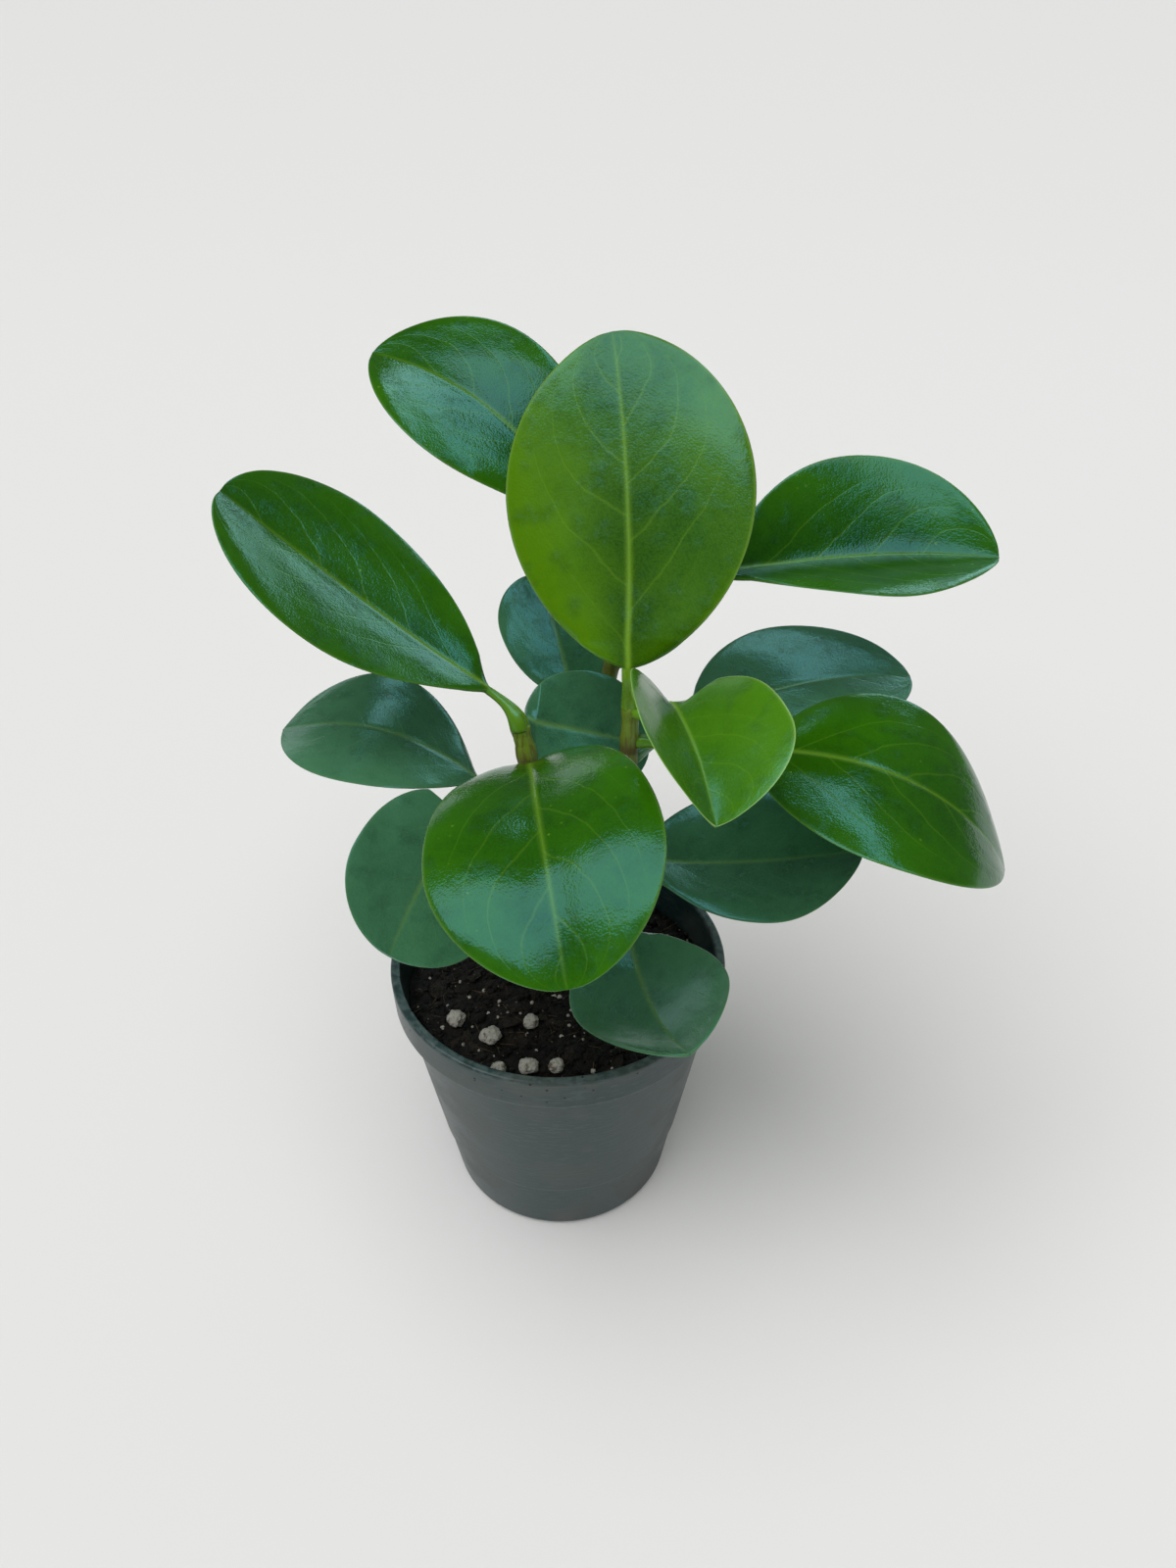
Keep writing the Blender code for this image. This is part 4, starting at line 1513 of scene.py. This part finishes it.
def rounded_outline(corners: Sequence[tuple[float, float, float]], steps: int = 6,
                    support: float = 0.5) -> list[tuple[float, float]]:
    """Round an outline's corners and put support points beside each arc.

    Args:
        corners: (radius, height, rounding) of each corner, in millimetres.
        steps: points on each arc, less one.
        support: distance of the support point from an arc's end, in millimetres.

    Returns:
        The outline's points.
    """
    outline: list[tuple[float, float]] = []
    for i, (r, z, rounding) in enumerate(corners):
        here = Vector((r, z))
        if i in (0, len(corners) - 1) or rounding <= 0:
            outline.append((r, z))
            continue
        back = Vector(corners[i - 1][:2]) - here
        ahead = Vector(corners[i + 1][:2]) - here
        reach = min(rounding, back.length * 0.45, ahead.length * 0.45)
        start, end = here + back.normalized() * reach, here + ahead.normalized() * reach
        if back.length > 4 * support + 2 * reach:
            lead = start + back.normalized() * support
            outline.append((lead.x, lead.y))
        for k in range(steps + 1):
            t = k / steps
            point = start * (1 - t) ** 2 + here * 2 * t * (1 - t) + end * t * t
            outline.append((point.x, point.y))
        if ahead.length > 4 * support + 2 * reach:
            lead = end + ahead.normalized() * support
            outline.append((lead.x, lead.y))
    return outline


def turned_pot_tree() -> bpy.types.NodeTree:
    """Geometry Nodes tree that turns an outline round the Z axis and bores drain holes.

    Returns:
        The tree. The outline lies in the XZ plane, X being the radius.
    """
    tree, given, result = new_group(
        "turned_pot", "GeometryNodeTree",
        {"Outline": "Geometry", "Steps": 128, "Hole Count": 6, "Hole Radius": 0.004,
         "Hole Circle Radius": 0.027, "Hole Depth": 0.01, "Material": "Material"},
        {"Mesh": "Geometry"})
    size = tree.add("GeometryNodeAttributeDomainSize", {"component": "CURVE"}, {0: given["Outline"]})
    rows = size.outputs["Point Count"]
    around = tree.math("ADD", given["Steps"], 1.0)
    grid = tree.add("GeometryNodeMeshGrid", None, {"Vertices X": around, "Vertices Y": rows})
    index = tree.add("GeometryNodeInputIndex").outputs[0]
    ring = tree.math("FLOOR", tree.math("DIVIDE", tree.math("ADD", index, 0.5), rows))
    row = tree.math("SUBTRACT", index, tree.times(ring, rows))
    place = tree.add("GeometryNodeInputPosition").outputs[0]
    sample = tree.add("GeometryNodeSampleIndex", {"data_type": "FLOAT_VECTOR", "domain": "POINT"},
                      {"Geometry": given["Outline"], "Index": row})
    value = next(s for s in sample.inputs if s.name == "Value" and s.type == "VECTOR")
    tree.link(place, value)
    found = next(s for s in sample.outputs if s.type == "VECTOR")
    parts = tree.add("ShaderNodeSeparateXYZ", None, {0: found})
    turn = tree.times(tree.math("DIVIDE", ring, given["Steps"]), 2 * math.pi)
    x = tree.times(parts.outputs["X"], tree.math("COSINE", turn))
    y = tree.times(parts.outputs["X"], tree.math("SINE", turn))
    spot = tree.add("ShaderNodeCombineXYZ", None, {"X": x, "Y": y, "Z": parts.outputs["Z"]})
    moved = tree.add("GeometryNodeSetPosition", None,
                     {"Geometry": grid.outputs[0], "Position": spot.outputs[0]})
    merged = tree.add("GeometryNodeMergeByDistance", None, {"Geometry": moved.outputs[0], "Distance": 1e-5})
    circle = tree.add("GeometryNodeMeshCircle", None,
                      {"Vertices": given["Hole Count"], "Radius": given["Hole Circle Radius"]})
    drill = tree.add("GeometryNodeMeshCylinder", None,
                     {"Vertices": 40, "Radius": given["Hole Radius"], "Depth": given["Hole Depth"]})
    drills = tree.add("GeometryNodeInstanceOnPoints", None,
                      {"Points": circle.outputs[0], "Instance": drill.outputs["Mesh"]})
    half_turn = tree.add("ShaderNodeCombineXYZ", None,
                         {"Z": tree.math("DIVIDE", math.pi, given["Hole Count"])})
    turned = tree.add("GeometryNodeTransform", None,
                      {"Geometry": drills.outputs[0], "Rotation": half_turn.outputs[0]})
    solid_drills = tree.add("GeometryNodeRealizeInstances", None, {"Geometry": turned.outputs[0]})
    bored = tree.add("GeometryNodeMeshBoolean", {"operation": "DIFFERENCE", "solver": "EXACT"},
                     {"Mesh 1": merged.outputs[0], "Mesh 2": solid_drills.outputs[0]})
    smooth = tree.add("GeometryNodeSetShadeSmooth", None, {"Geometry": bored.outputs[0]})
    return end_tree(tree, smooth.outputs[0], given["Material"], result)


@dataclass
class Pot:
    """The nursery pot: tapered wall, stepped and rolled rim band, flat floor, drain holes."""

    height: float = 90.0
    rim_radius: float = 52.5
    mouth_radius: float = 49.6
    base_radius: float = 36.5
    wall: float = 1.3
    floor: float = 1.6
    band_height: float = 11.0
    band_step: float = 1.6
    base_chamfer: float = 2.0
    ledge_drop: float = 4.0
    lip_depth: float = 2.4
    lip_taper: float = 0.5
    band_taper: float = 0.5
    band_chamfer: float = 0.7
    step_height: float = 24.0
    step_size: float = 0.5
    step_chamfer: float = 0.6
    drain_holes: int = 6
    drain_radius: float = 4.0
    drain_circle: float = 27.0
    steps: int = 160

    def wall_radius(self, height: float) -> float:
        """Outer radius of the tapered wall at a height."""
        top = self.rim_radius - self.band_step
        return self.base_radius + (top - self.base_radius) * height / self.height

    def bore_radius(self, height: float) -> float:
        """Inner radius of the pot at a height."""
        return min(self.wall_radius(height) - self.wall, self.mouth_radius)

    def corners(self) -> list[tuple[float, float, float]]:
        """The wall's corners, from the axis inside, over the rim and down to the axis below.

        Returns:
            (radius, height, rounding) of each corner, in millimetres.
        """
        low = self.height - self.band_height
        ledge = low - self.ledge_drop
        step = self.step_height
        return [
            (0, self.floor, 0),
            (self.bore_radius(self.floor), self.floor, 2.0),
            (self.bore_radius(ledge), ledge, 1.0),
            (self.mouth_radius - self.lip_taper, self.height - self.lip_depth, 1.0),
            (self.mouth_radius, self.height, 0.8),
            (self.rim_radius, self.height, 1.2),
            (self.rim_radius - self.band_taper, low, 0.7),
            (self.wall_radius(low) + 0.05, low - self.band_chamfer, 0.4),
            (self.wall_radius(step + self.step_chamfer), step + self.step_chamfer, 0.3),
            (self.wall_radius(step) - self.step_size, step, 0.3),
            (self.wall_radius(self.base_chamfer) - self.step_size, self.base_chamfer, 0.8),
            (self.base_radius - self.base_chamfer, 0, 0.8),
            (0, 0, 0),
        ]

    def build(self, material: bpy.types.Material) -> bpy.types.Object:
        """Make the pot.

        Args:
            material: the pot's finish.

        Returns:
            The piece.
        """
        outline = rounded_outline(self.corners())
        line = bpy.data.curves.new("pot_outline", "CURVE")
        line.dimensions = "3D"
        spline = line.splines.new("POLY")
        spline.points.add(len(outline) - 1)
        for point, (r, z) in zip(spline.points, outline):
            point.co = (r * MM, 0, z * MM, 1)
        host = add_piece("pot_host", line)
        values = {"Steps": self.steps, "Hole Count": self.drain_holes, "Material": material,
                  "Hole Radius": self.drain_radius * MM, "Hole Circle Radius": self.drain_circle * MM,
                  "Hole Depth": 4 * self.floor * MM}
        piece = grown(host, turned_pot_tree(), values, "pot_shell")
        outward(piece.data)
        self.mark_edges(piece.data)
        settle(piece, Slot.POT, ["pot"])
        return piece

    def mark_edges(self, mesh: bpy.types.Mesh) -> None:
        """Store how near each vertex is to an edge that wears: the lip, the band's foot or the base.

        Args:
            mesh: the pot's mesh.
        """
        heights = np.array([vertex.co.z for vertex in mesh.vertices]) / MM
        radii = np.array([math.hypot(vertex.co.x, vertex.co.y) for vertex in mesh.vertices]) / MM
        lip = bell(self.height - heights, 1.0)
        band_foot = bell(heights - self.height + self.band_height, 0.8) * (radii > self.mouth_radius + 1)
        base = bell(heights, 1.6) * (radii > self.base_radius - 2 * self.base_chamfer)
        set_number(mesh, "edge", np.clip(np.maximum.reduce([lip, band_foot, base]), 0, 1))


# ------------------------------------------------------------------ potting mix

CRUMB_SHAPES = 5


def set_range(node: bpy.types.Node, kind: str, low: Any, high: Any) -> None:
    """Set a Random Value node's limits for its data type.

    Args:
        node: the node.
        kind: the sockets' type.
        low: the lowest value.
        high: the highest value.
    """
    for socket in node.inputs:
        if socket.type == kind and socket.name in ("Min", "Max"):
            socket.default_value = low if socket.name == "Min" else high


def scatter_tree() -> bpy.types.NodeTree:
    """Geometry Nodes tree that strews rough crumbs over a surface.

    Returns:
        The tree. Its inputs set how many crumbs, their sizes, their flatness and their seed.
    """
    tree, given, result = new_group(
        "strewn_crumbs", "GeometryNodeTree",
        {"Surface": "Geometry", "Density": 200000.0, "Smallest": 0.0005, "Largest": 0.0015,
         "Length": 1.0, "Flatness": 1.0, "Tilt": 3.1, "Roughness": 0.35, "Sink": 0.0, "Detail": 2,
         "Seed": 1, "Material": "Material"},
        {"Mesh": "Geometry"})
    spots = tree.add("GeometryNodeDistributePointsOnFaces", {"distribute_method": "RANDOM"},
                     {"Mesh": given["Surface"], "Density": given["Density"],
                      "Seed": given["Seed"]})
    variants = tree.add("GeometryNodeJoinGeometry")
    ball = tree.add("GeometryNodeMeshIcoSphere", None, {"Radius": 1.0, "Subdivisions": given["Detail"]})
    place = tree.add("GeometryNodeInputPosition").outputs[0]
    for number in range(CRUMB_SHAPES):
        lumps = tree.add("ShaderNodeTexNoise", {"noise_dimensions": "4D", "normalize": False},
                         {"Vector": place, "W": 3.7 * number, "Scale": 1.5, "Detail": 1.0})
        push = tree.times(lumps.outputs["Fac"], given["Roughness"])
        offset = tree.vector_math("SCALE", {0: place, "Scale": push})
        crumb = tree.add("GeometryNodeSetPosition", None, {"Geometry": ball.outputs[0], "Offset": offset})
        flat = tree.add("GeometryNodeSetShadeSmooth", None,
                        {"Geometry": crumb.outputs[0], "Shade Smooth": False})
        single = tree.add("GeometryNodeGeometryToInstance", None, {0: flat.outputs[0]})
        tree.link(single.outputs[0], variants.inputs[0])
    pick = tree.add("FunctionNodeRandomValue", {"data_type": "INT"}, {"Seed": given["Seed"]})
    set_range(pick, "INT", 0, CRUMB_SHAPES - 1)
    share = tree.add("FunctionNodeRandomValue", {"data_type": "FLOAT"},
                     {"Seed": tree.math("ADD", given["Seed"], 7.0)})
    spread = tree.math("SUBTRACT", given["Largest"], given["Smallest"])
    drawn = tree.math("POWER", share.outputs[1], 2.2)
    size = tree.math("ADD", given["Smallest"], tree.times(drawn, spread))
    scale = tree.add("ShaderNodeCombineXYZ", None,
                     {"X": tree.times(size, given["Length"]), "Y": size,
                      "Z": tree.times(size, given["Flatness"])})
    tilt = tree.add("FunctionNodeRandomValue", {"data_type": "FLOAT_VECTOR"},
                    {"Seed": tree.math("ADD", given["Seed"], 13.0)})
    set_range(tilt, "VECTOR", (-1, -1, -1), (1, 1, 1))
    bounds = tree.add("ShaderNodeCombineXYZ", None,
                      {"X": given["Tilt"], "Y": given["Tilt"], "Z": math.pi})
    angles = tree.vector_math("MULTIPLY", {0: tilt.outputs[0], 1: bounds.outputs[0]})
    rotation = tree.add("FunctionNodeEulerToRotation", None, {0: angles})
    strewn = tree.add("GeometryNodeInstanceOnPoints", None,
                      {"Points": spots.outputs["Points"], "Instance": variants.outputs[0],
                       "Pick Instance": True, "Instance Index": pick.outputs[2],
                       "Rotation": rotation.outputs[0], "Scale": scale.outputs[0]})
    lowered = tree.add("ShaderNodeCombineXYZ", None, {"Z": tree.times(given["Sink"], -1.0)})
    sunk = tree.add("GeometryNodeTranslateInstances", None,
                    {"Instances": strewn.outputs[0], "Translation": lowered.outputs[0],
                     "Local Space": False})
    return end_tree(tree, sunk.outputs[0], given["Material"], result)


@dataclass(frozen=True)
class Strewn:
    """One kind of thing strewn on the mix, with its sizes in millimetres."""

    name: str
    per_square_cm: float
    smallest: float
    largest: float
    length: float
    flatness: float
    tilt: float
    sink: float
    seed: int
    roughness: float = 0.35
    detail: int = 2


@dataclass
class PottingMix:
    """The mix: an uneven bed, with crumbs, bark, fibres and fine perlite strewn on it."""

    pot: Pot
    level: float = 79.5
    mound: float = 2.0
    mound_radius: float = 24.0
    lump_height: float = 0.9
    lump_spacing: float = 11.0
    clod_height: float = 1.1
    clod_spacing: float = 3.1
    grit_height: float = 0.18
    grit_spacing: float = 0.8
    edge_sag: float = 1.2
    clearance: float = 0.45
    wall_height: float = 30.0
    foot_rise: float = 2.0
    foot_inset: float = 2.4
    rings: int = 96
    spokes: int = 256
    strewn_rings: int = 24
    strewn_spokes: int = 72
    strewn: tuple[Strewn, ...] = (
        Strewn("mix_crumbs", per_square_cm=24.0, smallest=0.45, largest=1.7, length=1.1, flatness=0.85,
               tilt=3.1, sink=0.15, seed=5, roughness=0.5),
        Strewn("bark_bits", per_square_cm=2.0, smallest=0.9, largest=2.6, length=1.7, flatness=0.40,
               tilt=0.5, sink=0.0, seed=9, roughness=0.6),
        Strewn("root_fibres", per_square_cm=2.4, smallest=0.10, largest=0.22, length=22.0, flatness=1.0,
               tilt=0.22, sink=-0.5, seed=21, roughness=0.2, detail=1),
        Strewn("perlite_dust", per_square_cm=2.6, smallest=0.25, largest=0.75, length=1.1, flatness=0.9,
               tilt=3.1, sink=-0.2, seed=33, roughness=0.5),
    )

    def height(self, x: float, y: float) -> float:
        """Find the height of the bed, as the CAD solid has it.

        Args:
            x: the place's X, in millimetres.
            y: its Y.

        Returns:
            The height, in millimetres.
        """
        reach = math.hypot(x, y) / self.mound_radius
        lumps = noise.noise(Vector((x, y, 4.0)) / self.lump_spacing)
        return self.level + self.mound / (1 + reach ** 4) + self.lump_height * lumps

    def rough_height(self, x: float, y: float) -> float:
        """Find the bed's height with its fine clods and grit.

        Args:
            x: the place's X, in millimetres.
            y: its Y.

        Returns:
            The height, in millimetres.
        """
        here = Vector((x, y, 1.3))
        clods = noise.turbulence(here / self.clod_spacing, 4, False) - 0.55
        grit = noise.noise(here / self.grit_spacing)
        return self.height(x, y) + self.clod_height * clods + self.grit_height * grit

    def surface(self, reach: float, rings: int, spokes: int,
                sag: float = 0.0) -> tuple[list[Point], list[tuple[int, ...]]]:
        """The mix's upper surface, in rings round its middle point.

        Args:
            reach: radius of the last ring, in millimetres.
            rings: how many rings.
            spokes: points on each ring.
            sag: how far the last ring has settled.

        Returns:
            The points in millimetres, and the faces.
        """
        points: list[Point] = [(0, 0, self.rough_height(0, 0))]
        for ring in range(1, rings + 1):
            settled = sag * float(smoothstep(ring / rings, 0.94, 1.0))
            places = circle(reach * ring / rings, spokes)
            points += [(x, y, self.rough_height(x, y) - settled) for x, y in places]
        faces: list[tuple[int, ...]] = [(0, 1 + k, 1 + (k + 1) % spokes) for k in range(spokes)]
        for ring in range(rings - 1):
            faces += belt(1 + ring * spokes, spokes, turned=True)
        return points, faces

    def build_bed(self, material: bpy.types.Material) -> bpy.types.Object:
        """Make the bed, a closed solid that fills the pot.

        Args:
            material: the mix's finish.

        Returns:
            The piece.
        """
        bore, spokes = self.pot.bore_radius, self.spokes
        points, faces = self.surface(bore(self.level) - self.clearance, self.rings, spokes, self.edge_sag)
        low = self.pot.floor + self.clearance
        for radius, height in ((bore(self.wall_height) - self.clearance, self.wall_height),
                               (bore(low + self.foot_rise) - self.clearance, low + self.foot_rise),
                               (bore(low) - self.foot_inset, low)):
            faces += belt(len(points) - spokes, spokes, turned=True)
            points += [(x, y, height) for x, y in circle(radius, spokes)]
        faces.append(tuple(range(len(points) - spokes, len(points))))
        mesh = mesh_from("mix_bed", np.array(points) * MM, faces)
        outward(mesh)
        piece = add_piece("mix_bed", mesh, material)
        settle(piece, Slot.MIX, ["soil"])
        return piece

    def build_strewn(self, kind: Strewn, tree: bpy.types.NodeTree, material: bpy.types.Material,
                     slot: Slot) -> bpy.types.Object:
        """Strew one kind of thing over the mix.

        Args:
            kind: what is strewn.
            tree: the Geometry Nodes tree that strews it.
            material: its finish.
            slot: the record's slot of that finish.

        Returns:
            The piece.
        """
        reach = self.pot.bore_radius(self.level) - self.clearance - kind.largest
        points, faces = self.surface(reach, self.strewn_rings, self.strewn_spokes)
        host = add_piece(kind.name + "_host", mesh_from(kind.name + "_host", np.array(points) * MM, faces))
        values = {"Density": kind.per_square_cm * PER_SQUARE_METRE, "Smallest": kind.smallest * MM,
                  "Largest": kind.largest * MM, "Length": kind.length, "Flatness": kind.flatness,
                  "Tilt": kind.tilt, "Roughness": kind.roughness, "Sink": kind.sink * MM,
                  "Detail": kind.detail, "Seed": kind.seed, "Material": material}
        piece = grown(host, tree, values, kind.name)
        settle(piece, slot)
        return piece


@dataclass
class PerliteGrain:
    """A knobbly, pored grain of perlite that lies where its CAD solid lies."""

    node: str
    seed: int
    subdivisions: int = 5
    knob: float = 0.20
    pore: float = 0.07
    spread: float = 1.12

    def build(self, material: bpy.types.Material) -> bpy.types.Object:
        """Make the grain.

        Args:
            material: the perlite's finish.

        Returns:
            The piece.
        """
        low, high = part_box(self.node)
        centre, half = (low + high) / 2, (high - low) / 2 * self.spread
        shape = bmesh.new()
        bmesh.ops.create_icosphere(shape, subdivisions=self.subdivisions, radius=1.0)
        shift = Vector((self.seed * 3.1, self.seed * 1.7, 0.0))
        for vertex in shape.verts:
            way = vertex.co.copy()
            knobs = noise.noise(way * 1.5 + shift) + 0.5 * noise.noise(way * 3.4 + shift)
            pores = max(0.0, noise.noise(way * 8.0 + shift) - 0.1)
            reach = 1 + self.knob * knobs - self.pore * 3 * pores
            vertex.co = Vector((centre.x + half.x * way.x * reach, centre.y + half.y * way.y * reach,
                                centre.z + half.z * way.z * reach - 0.25 * half.z))
        mesh = bpy.data.meshes.new(self.node + "_grain")
        shape.to_mesh(mesh)
        shape.free()
        mesh.shade_smooth()
        piece = add_piece(self.node + "_grain", mesh, material)
        settle(piece, Slot.PERLITE, [self.node])
        return piece


# ------------------------------------------------------------------ studio

@dataclass(frozen=True)
class Softbox:
    """A rectangular light, in metres, that faces the plant's middle where it has no other aim."""

    name: str
    place: Point
    size: tuple[float, float]
    radiance: float
    aim: Point = (0.0, 0.0, 0.18)
    turn: float = 0.0
    colour: Colour = (1.0, 1.0, 1.0)


@dataclass
class Studio:
    """A pale floor, an even soft daylight, four softboxes for the sheen and the camera."""

    floor_radius: float = 14.0
    floor_colour: Colour = (0.82, 0.82, 0.81)
    front_sky: Colour = (0.04, 0.04, 0.04)
    back_sky: Colour = (0.08, 0.09, 0.09)
    zenith: Colour = (0.06, 0.06, 0.06)
    fill: Colour = (0.25, 0.25, 0.25)
    backdrop: Colour = (0.86, 0.86, 0.86)
    daylight: float = 2.5
    daylight_spread: float = 65.0
    daylight_place: Point = (-0.35, -0.45, 1.3)
    softboxes: tuple[Softbox, ...] = (
        Softbox("overhead_softbox", place=(-0.50, -0.36, 2.50), aim=(-0.50, -0.36, 0.0), size=(3.0, 1.60),
                radiance=3.3, turn=-8.0),
        Softbox("strip_softbox", place=(0.593, 0.593, 1.424), size=(1.9, 0.24), radiance=3.9,
                colour=(0.60, 0.97, 0.96)),
        Softbox("back_softbox", place=(0.756, 1.310, 0.701), size=(0.7, 0.34), radiance=2.6,
                colour=(0.55, 0.96, 0.90)),
        Softbox("left_softbox", place=(-0.705, 1.383, 0.567), size=(0.6, 0.45), radiance=0.9),
    )
    camera_place: Point = (0.0094, -0.2795, 0.3590)
    camera_drop: float = 36.0
    lens: float = 28.0

    def build_floor(self) -> bpy.types.Object:
        """Make the round floor, which isn't part of the object.

        Returns:
            The floor.
        """
        material = bpy.data.materials.new("studio_floor")
        material.use_nodes = True
        shader = material.node_tree.nodes["Principled BSDF"]
        shader.inputs["Base Color"].default_value = (*self.floor_colour, 1.0)
        shader.inputs["Roughness"].default_value = 0.9
        shader.inputs["Specular IOR Level"].default_value = 0.2
        mesh = bpy.data.meshes.new("studio_floor")
        shape = bmesh.new()
        bmesh.ops.create_circle(shape, cap_ends=True, segments=96, radius=self.floor_radius)
        shape.to_mesh(mesh)
        shape.free()
        floor = add_piece("studio_floor", mesh, material)
        return floor

    def build_world(self) -> None:
        """Set a soft grey world: dim in front, brighter behind and above, pale to the camera."""
        world = bpy.data.worlds.new("studio")
        bpy.context.scene.world = world
        world.use_nodes = True
        tree = Tree(world.node_tree)
        background = next(node for node in world.node_tree.nodes if node.type == "BACKGROUND")
        way = tree.add("ShaderNodeTexCoord").outputs["Generated"]
        parts = tree.add("ShaderNodeSeparateXYZ", None, {0: way})
        around = tree.mix(tree.ramp(parts.outputs["Y"], -0.2, 0.8), self.front_sky, self.back_sky)
        sky = tree.mix(tree.ramp(parts.outputs["Z"], 0.3, 0.95), around, self.zenith)
        path = tree.add("ShaderNodeLightPath")
        soft = tree.mix(path.outputs["Is Diffuse Ray"], sky, self.fill)
        tree.link(tree.mix(path.outputs["Is Camera Ray"], soft, self.backdrop), background.inputs["Color"])

    @staticmethod
    def add_lamp(name: str, light: bpy.types.Light, place: Point, aim: Point, turn: float = 0.0) -> None:
        """Hang a lamp. The daylight lights surfaces, and the softboxes only show as sheen.

        Args:
            name: the lamp's name.
            light: its light.
            place: where it hangs, in metres.
            aim: the point it faces.
            turn: its turn about its own axis, in degrees.
        """
        lamp = bpy.data.objects.new(name, light)
        lamp.location = place
        facing = (Vector(aim) - Vector(place)).to_track_quat("-Z", "Y")
        lamp.rotation_euler = (facing @ Quaternion((0, 0, 1), math.radians(turn))).to_euler()
        lamp.visible_diffuse = light.type == "SUN"
        lamp.visible_glossy = light.type != "SUN"
        bpy.context.scene.collection.objects.link(lamp)

    def add_softbox(self, box: Softbox) -> None:
        """Hang a rectangular softbox, which only lends the leaves their sheen.

        Args:
            box: the softbox.
        """
        light = bpy.data.lights.new(box.name, "AREA")
        light.shape = "RECTANGLE"
        light.size, light.size_y = box.size
        light.energy = box.radiance * math.pi * box.size[0] * box.size[1]
        light.color = box.colour
        self.add_lamp(box.name, light, box.place, box.aim, box.turn)

    def add_daylight(self) -> None:
        """Light the whole floor and the plant evenly from above, with soft shadows."""
        light = bpy.data.lights.new("daylight", "SUN")
        light.energy = self.daylight
        light.angle = math.radians(self.daylight_spread)
        self.add_lamp("daylight", light, self.daylight_place, (0.0, 0.0, 0.0))

    def build_camera(self) -> bpy.types.Object:
        """Set up the camera, which looks down on the plant from the front.

        Returns:
            The camera.
        """
        lens = bpy.data.cameras.new("camera")
        lens.lens = self.lens
        lens.sensor_width = 36.0
        lens.clip_start = 0.01
        camera = bpy.data.objects.new("camera", lens)
        camera.location = self.camera_place
        camera.rotation_euler = (math.radians(90 - self.camera_drop), 0, 0)
        bpy.context.scene.collection.objects.link(camera)
        bpy.context.scene.camera = camera
        return camera

    def build(self) -> None:
        """Build the floor, the world, the lights and the camera."""
        self.build_floor()
        self.build_world()
        self.build_camera()
        self.add_daylight()
        for box in self.softboxes:
            self.add_softbox(box)
        view = bpy.context.scene.view_settings
        view.view_transform = "Standard"
        view.look = "None"


# ------------------------------------------------------------------ assembly


def clear_scene() -> None:
    """Remove the objects that a new file starts with."""
    for old in list(bpy.data.objects):
        bpy.data.objects.remove(old, do_unlink=True)


def main() -> None:
    """Build every sub-assembly round the frame, in order."""
    logging.basicConfig(level=logging.INFO, format="%(name)s: %(message)s")
    clear_scene()
    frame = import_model()
    LOG.info("frame has %d nodes", len(frame["nodes"]))
    effects = Effects()
    Studio().build()

    pot = Pot()
    pot.build(PotFinish(rim_height=pot.height).build(effects))
    mix = PottingMix(pot)
    earth, bark, fibre = (finish.build(effects) for finish in EARTH_FINISHES)
    chalk = PerliteFinish().build(effects)
    mix.build_bed(earth)
    strew = scatter_tree()
    for kind, material in zip(mix.strewn, (earth, bark, fibre, chalk)):
        mix.build_strewn(kind, strew, material, Slot.PERLITE if material is chalk else Slot.MIX)
    grains = sorted(name for name in frame["nodes"] if name.startswith("perlite_"))
    for seed, node in enumerate(grains, 1):
        PerliteGrain(node, seed).build(chalk)

    tube = stem_tube_tree()
    stem_skin = StemFinish().build(effects)
    stems = {spec.name: Stem(spec, mix.level) for spec in STEM_SPECS}
    for seed, stem in enumerate(stems.values(), 1):
        stem.build(stem_skin, tube, float(seed))
    skins = {age: finish.build(effects) for age, finish in LEAF_FINISHES.items()}
    for seed, spec in enumerate(LEAF_SPECS, 1):
        Leaf(spec, stems[spec.stem], seed).build(skins[spec.age])


if __name__ == "__main__":
    main()
